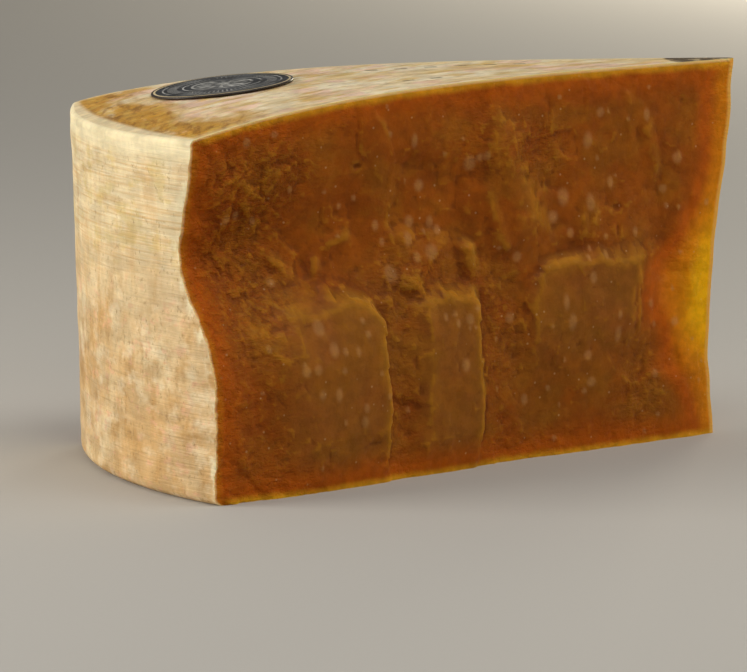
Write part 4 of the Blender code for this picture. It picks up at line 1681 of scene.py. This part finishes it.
@dataclass
class LabelDisc:
    """The thin round label, a disc that Geometry Nodes lay over the crown of the top rind."""

    wheel: Wheel = field(default_factory=Wheel)
    radius: float = 27.5 * MM
    thickness: float = 0.7 * MM
    from_middle: float = 207.0 * MM
    angle: float = math.radians(-6.5)
    lift: float = 0.35 * MM
    sides: int = 96
    rings: int = 14

    def centre(self) -> tuple[float, float]:
        """The disc's middle in the frame."""
        x = self.wheel.middle_x - self.from_middle * math.cos(self.angle)
        return x, self.wheel.middle_y - self.from_middle * math.sin(self.angle)

    def sizes(self) -> dict[str, float]:
        """Names the tree's inputs.

        Returns:
            Their values by name.
        """
        centre = self.centre()
        return {
            "Radius": self.radius,
            "Thickness": self.thickness,
            "Centre X": centre[0],
            "Centre Y": centre[1],
            "Middle X": self.wheel.middle_x,
            "Middle Y": self.wheel.middle_y,
            "Wheel radius": self.wheel.radius,
            "Wheel height": self.wheel.height,
            "Crown drop": self.wheel.crown_drop,
            "Crown power": self.wheel.crown_power,
            "Lift": self.lift,
        }

    def build_tree(self, finish: bpy.types.Material) -> bpy.types.NodeTree:
        """Makes the Geometry Nodes that bend a flat disc over the crown.

        Args:
            finish: The disc's material.

        Returns:
            The tree, with its sizes as named inputs.
        """
        tree = bpy.data.node_groups.new("disc_over_crown", "GeometryNodeTree")
        tree.interface.new_socket("Geometry", in_out="INPUT", socket_type="NodeSocketGeometry")
        for name in self.sizes():
            tree.interface.new_socket(name, in_out="INPUT", socket_type="NodeSocketFloat")
        tree.interface.new_socket("Geometry", in_out="OUTPUT", socket_type="NodeSocketGeometry")
        given = add_node(tree, "NodeGroupInput").outputs
        ports = {
            "Vertices": self.sides,
            "Side Segments": 1,
            "Fill Segments": self.rings,
            "Radius": given["Radius"],
            "Depth": given["Thickness"],
        }
        disc = add_node(tree, "GeometryNodeMeshCylinder", ports, fill_type="TRIANGLE_FAN").outputs["Mesh"]
        flat = add_node(tree, "GeometryNodeInputPosition").outputs[0]
        ports = {0: given["Centre X"], 1: given["Centre Y"]}
        centre = add_node(tree, "ShaderNodeCombineXYZ", ports).outputs[0]
        place = add_node(tree, "ShaderNodeVectorMath", {0: flat, 1: centre}, operation="ADD").outputs[0]
        split = add_node(tree, "ShaderNodeSeparateXYZ", {0: place}).outputs
        plan = add_node(tree, "ShaderNodeCombineXYZ", {0: split[0], 1: split[1]}).outputs[0]
        ports = {0: given["Middle X"], 1: given["Middle Y"]}
        middle = add_node(tree, "ShaderNodeCombineXYZ", ports).outputs[0]
        gone = add_node(tree, "ShaderNodeVectorMath", {0: plan, 1: middle}, operation="DISTANCE")
        drop = gone.outputs["Value"]
        steps = (("DIVIDE", "Wheel radius"), ("POWER", "Crown power"), ("MULTIPLY", "Crown drop"))
        for operation, name in steps:
            drop = add_node(tree, "ShaderNodeMath", {0: drop, 1: given[name]}, operation=operation).outputs[0]
        ports = {0: given["Thickness"], 1: 0.5, 2: given["Wheel height"]}
        rise = add_node(tree, "ShaderNodeMath", ports, operation="MULTIPLY_ADD").outputs[0]
        for operation, part in (("ADD", given["Lift"]), ("SUBTRACT", drop)):
            rise = add_node(tree, "ShaderNodeMath", {0: rise, 1: part}, operation=operation).outputs[0]
        lift = add_node(tree, "ShaderNodeCombineXYZ", {2: rise}).outputs[0]
        point = add_node(tree, "ShaderNodeVectorMath", {0: place, 1: lift}, operation="ADD").outputs[0]
        laid = add_node(tree, "GeometryNodeSetPosition", {"Geometry": disc, "Position": point}).outputs[0]
        real = add_node(tree, "GeometryNodeRealizeInstances", {0: laid}).outputs[0]
        ports = {"Geometry": real, "Material": finish}
        dressed = add_node(tree, "GeometryNodeSetMaterial", ports).outputs[0]
        add_node(tree, "NodeGroupOutput", {0: dressed})
        return tree

    def build(self, finish: bpy.types.Material) -> bpy.types.Object:
        """Builds the label.

        Args:
            finish: The disc's material.

        Returns:
            The finished piece.
        """
        return grow("label_disc", self.build_tree(finish), self.sizes())


def grow(name: str, tree: bpy.types.NodeTree, sizes: dict[str, float]) -> bpy.types.Object:
    """Runs a Geometry Nodes tree over an empty mesh and keeps the result as a plain mesh.

    Args:
        name: The piece's name.
        tree: The tree.
        sizes: The tree's inputs by name.

    Returns:
        The finished piece, with no modifier left.
    """
    piece = new_object(name, bpy.data.meshes.new(f"{name}_seed"))
    modifier = piece.modifiers.new("grow", "NODES")
    modifier.node_group = tree
    for socket in tree.interface.items_tree:
        if socket.item_type == "SOCKET" and socket.in_out == "INPUT" and socket.name in sizes:
            modifier[socket.identifier] = sizes[socket.name]
    piece.update_tag()
    bpy.context.view_layer.update()
    made = bpy.data.meshes.new_from_object(piece.evaluated_get(bpy.context.evaluated_depsgraph_get()))
    piece.modifiers.clear()
    piece.data = made
    made.name = name
    made.polygons.foreach_set("use_smooth", [True] * len(made.polygons))
    return piece


# -------------------- Studio --------------------


@dataclass(frozen=True)
class SoftBox:
    """One soft light: where it is, what it looks at and how strong it is."""

    name: str
    place: tuple[float, float, float]
    size: tuple[float, float]
    watts: float
    colour: str

    def build(self, target: Vector) -> bpy.types.Object:
        """Makes the light.

        Args:
            target: What it is turned to.

        Returns:
            The light.
        """
        data = bpy.data.lights.new(self.name, "AREA")
        data.shape = "RECTANGLE"
        data.size, data.size_y = self.size
        data.energy = self.watts
        data.color = hex_linear(self.colour)[:3]
        lamp = new_object(self.name, data)
        lamp.location = self.place
        lamp.rotation_euler = (target - Vector(self.place)).to_track_quat("-Z", "Y").to_euler()
        return lamp


@dataclass
class Studio:
    """A pale floor that curves up into a round backdrop, soft lights and the photograph's camera angle."""

    wheel: Wheel = field(default_factory=Wheel)
    azimuth: float = math.radians(-21.0)
    elevation: float = 0.155
    from_middle: tuple[float, float, float] = (-0.8410, -1.7950, 0.3472)
    focal_px: float = 5000.0
    width_px: float = 747.0
    floor_radius: float = 3.2
    curve_radius: float = 1.4
    wall_height: float = 1.2
    floor_rings: tuple[float, float] = (0.5, 1.5)
    curve_rings: int = 13
    turns: int = 96
    floor_colour: str = "#B9B7B2"
    sky_colour: str = "#F2F2F2"
    sky: float = 0.30
    sensor_mm: float = 36.0
    lights: tuple[SoftBox, ...] = (
        SoftBox("key_left", (-1.3, 0.20, 0.45), (0.8, 0.7), 15.0, "#FFF8EE"),
        SoftBox("overhead", (0.15, -0.50, 1.30), (0.9, 0.5), 6.5, "#FFF9F0"),
        SoftBox("right", (1.3, -0.45, 0.55), (0.6, 0.7), 3.0, "#FFF3DC"),
        SoftBox("back_right", (1.70, 2.10, 0.20), (0.7, 0.3), 34.0, "#FFF3DC"),
        SoftBox("front_fill", (-0.2, -2.0, 1.1), (1.2, 1.0), 3.5, "#FFFFFF"),
    )

    def backdrop(self) -> bpy.types.Object:
        """Makes the floor and the backdrop as one turned sheet.

        Returns:
            The sheet.
        """
        bend = np.linspace(0.0, math.pi / 2.0, self.curve_rings)
        reach = [*self.floor_rings, *(self.floor_radius + self.curve_radius * np.sin(bend))]
        height = [0.0, 0.0, *(self.curve_radius * (1.0 - np.cos(bend)))]
        reach.append(reach[-1])
        height.append(height[-1] + self.wall_height)
        points, faces = [(0.0, 0.0, 0.0)], []
        for radius, z in zip(reach, height):
            for k in range(self.turns):
                turn = 2.0 * math.pi * k / self.turns
                points.append((radius * math.cos(turn), radius * math.sin(turn), z))
        for k in range(self.turns):
            after = (k + 1) % self.turns
            faces.append((0, 1 + k, 1 + after))
            for ring in range(len(reach) - 1):
                low, high = 1 + ring * self.turns, 1 + (ring + 1) * self.turns
                faces.append((low + k, high + k, high + after, low + after))
        mesh = bpy.data.meshes.new("backdrop")
        mesh.from_pydata(points, [], faces)
        mesh.polygons.foreach_set("use_smooth", [True] * len(faces))
        paper = Paint("matt_backdrop_paper", self.floor_colour, Skin.SOLID)
        grain = paper.clouds((2.0, 2.0, 2.0), 2.0)
        mesh.materials.append(paper.close(Light(0.85, 0.95, specular=0.2, bump_mm=0.01), grain))
        return new_object("backdrop", mesh)

    def build(self) -> None:
        """Makes the backdrop, the lights, the sky and the camera."""
        self.backdrop()
        target = Vector((0.0, 0.0, self.wheel.height / 2.0))
        for light in self.lights:
            light.build(target)

        world = bpy.data.worlds.new("soft_sky")
        world.use_nodes = True
        world.node_tree.nodes["Background"].inputs[0].default_value = hex_linear(self.sky_colour)
        world.node_tree.nodes["Background"].inputs[1].default_value = self.sky
        bpy.context.scene.world = world

        data = bpy.data.cameras.new("camera")
        data.sensor_width = self.sensor_mm
        data.lens = self.focal_px * self.sensor_mm / self.width_px
        camera = new_object("camera", data)
        middle = Vector((self.wheel.middle_x, self.wheel.middle_y, 0.0))
        camera.location = middle + Vector(self.from_middle)
        a, e = self.azimuth, self.elevation
        back = Vector((math.sin(a) * math.cos(e), -math.cos(a) * math.cos(e), math.sin(e)))
        camera.rotation_euler = (-back).to_track_quat("-Z", "Y").to_euler()
        bpy.context.scene.camera = camera
        bpy.context.scene.view_settings.view_transform = "Standard"


# -------------------- The whole thing --------------------


def main() -> None:
    """Builds each piece, puts it on the frame, and sets up the studio."""
    logging.basicConfig(level=logging.INFO, format="%(name)s: %(message)s")
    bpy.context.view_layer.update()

    chunk = Chunk()
    piece = chunk.build([BrokenPaste().build(), RimRind().build(), FaceRind().build()])
    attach(piece, "root")
    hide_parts("cheese")
    LOG.info("%s: %d faces", piece.name, len(piece.data.polygons))

    label = LabelDisc()
    disc = label.build(PrintedDisc(centre=label.centre()).build())
    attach(disc, "root")
    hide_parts("label")
    LOG.info("%s: %d faces", disc.name, len(disc.data.polygons))

    Studio().build()


if __name__ == "__main__":
    main()
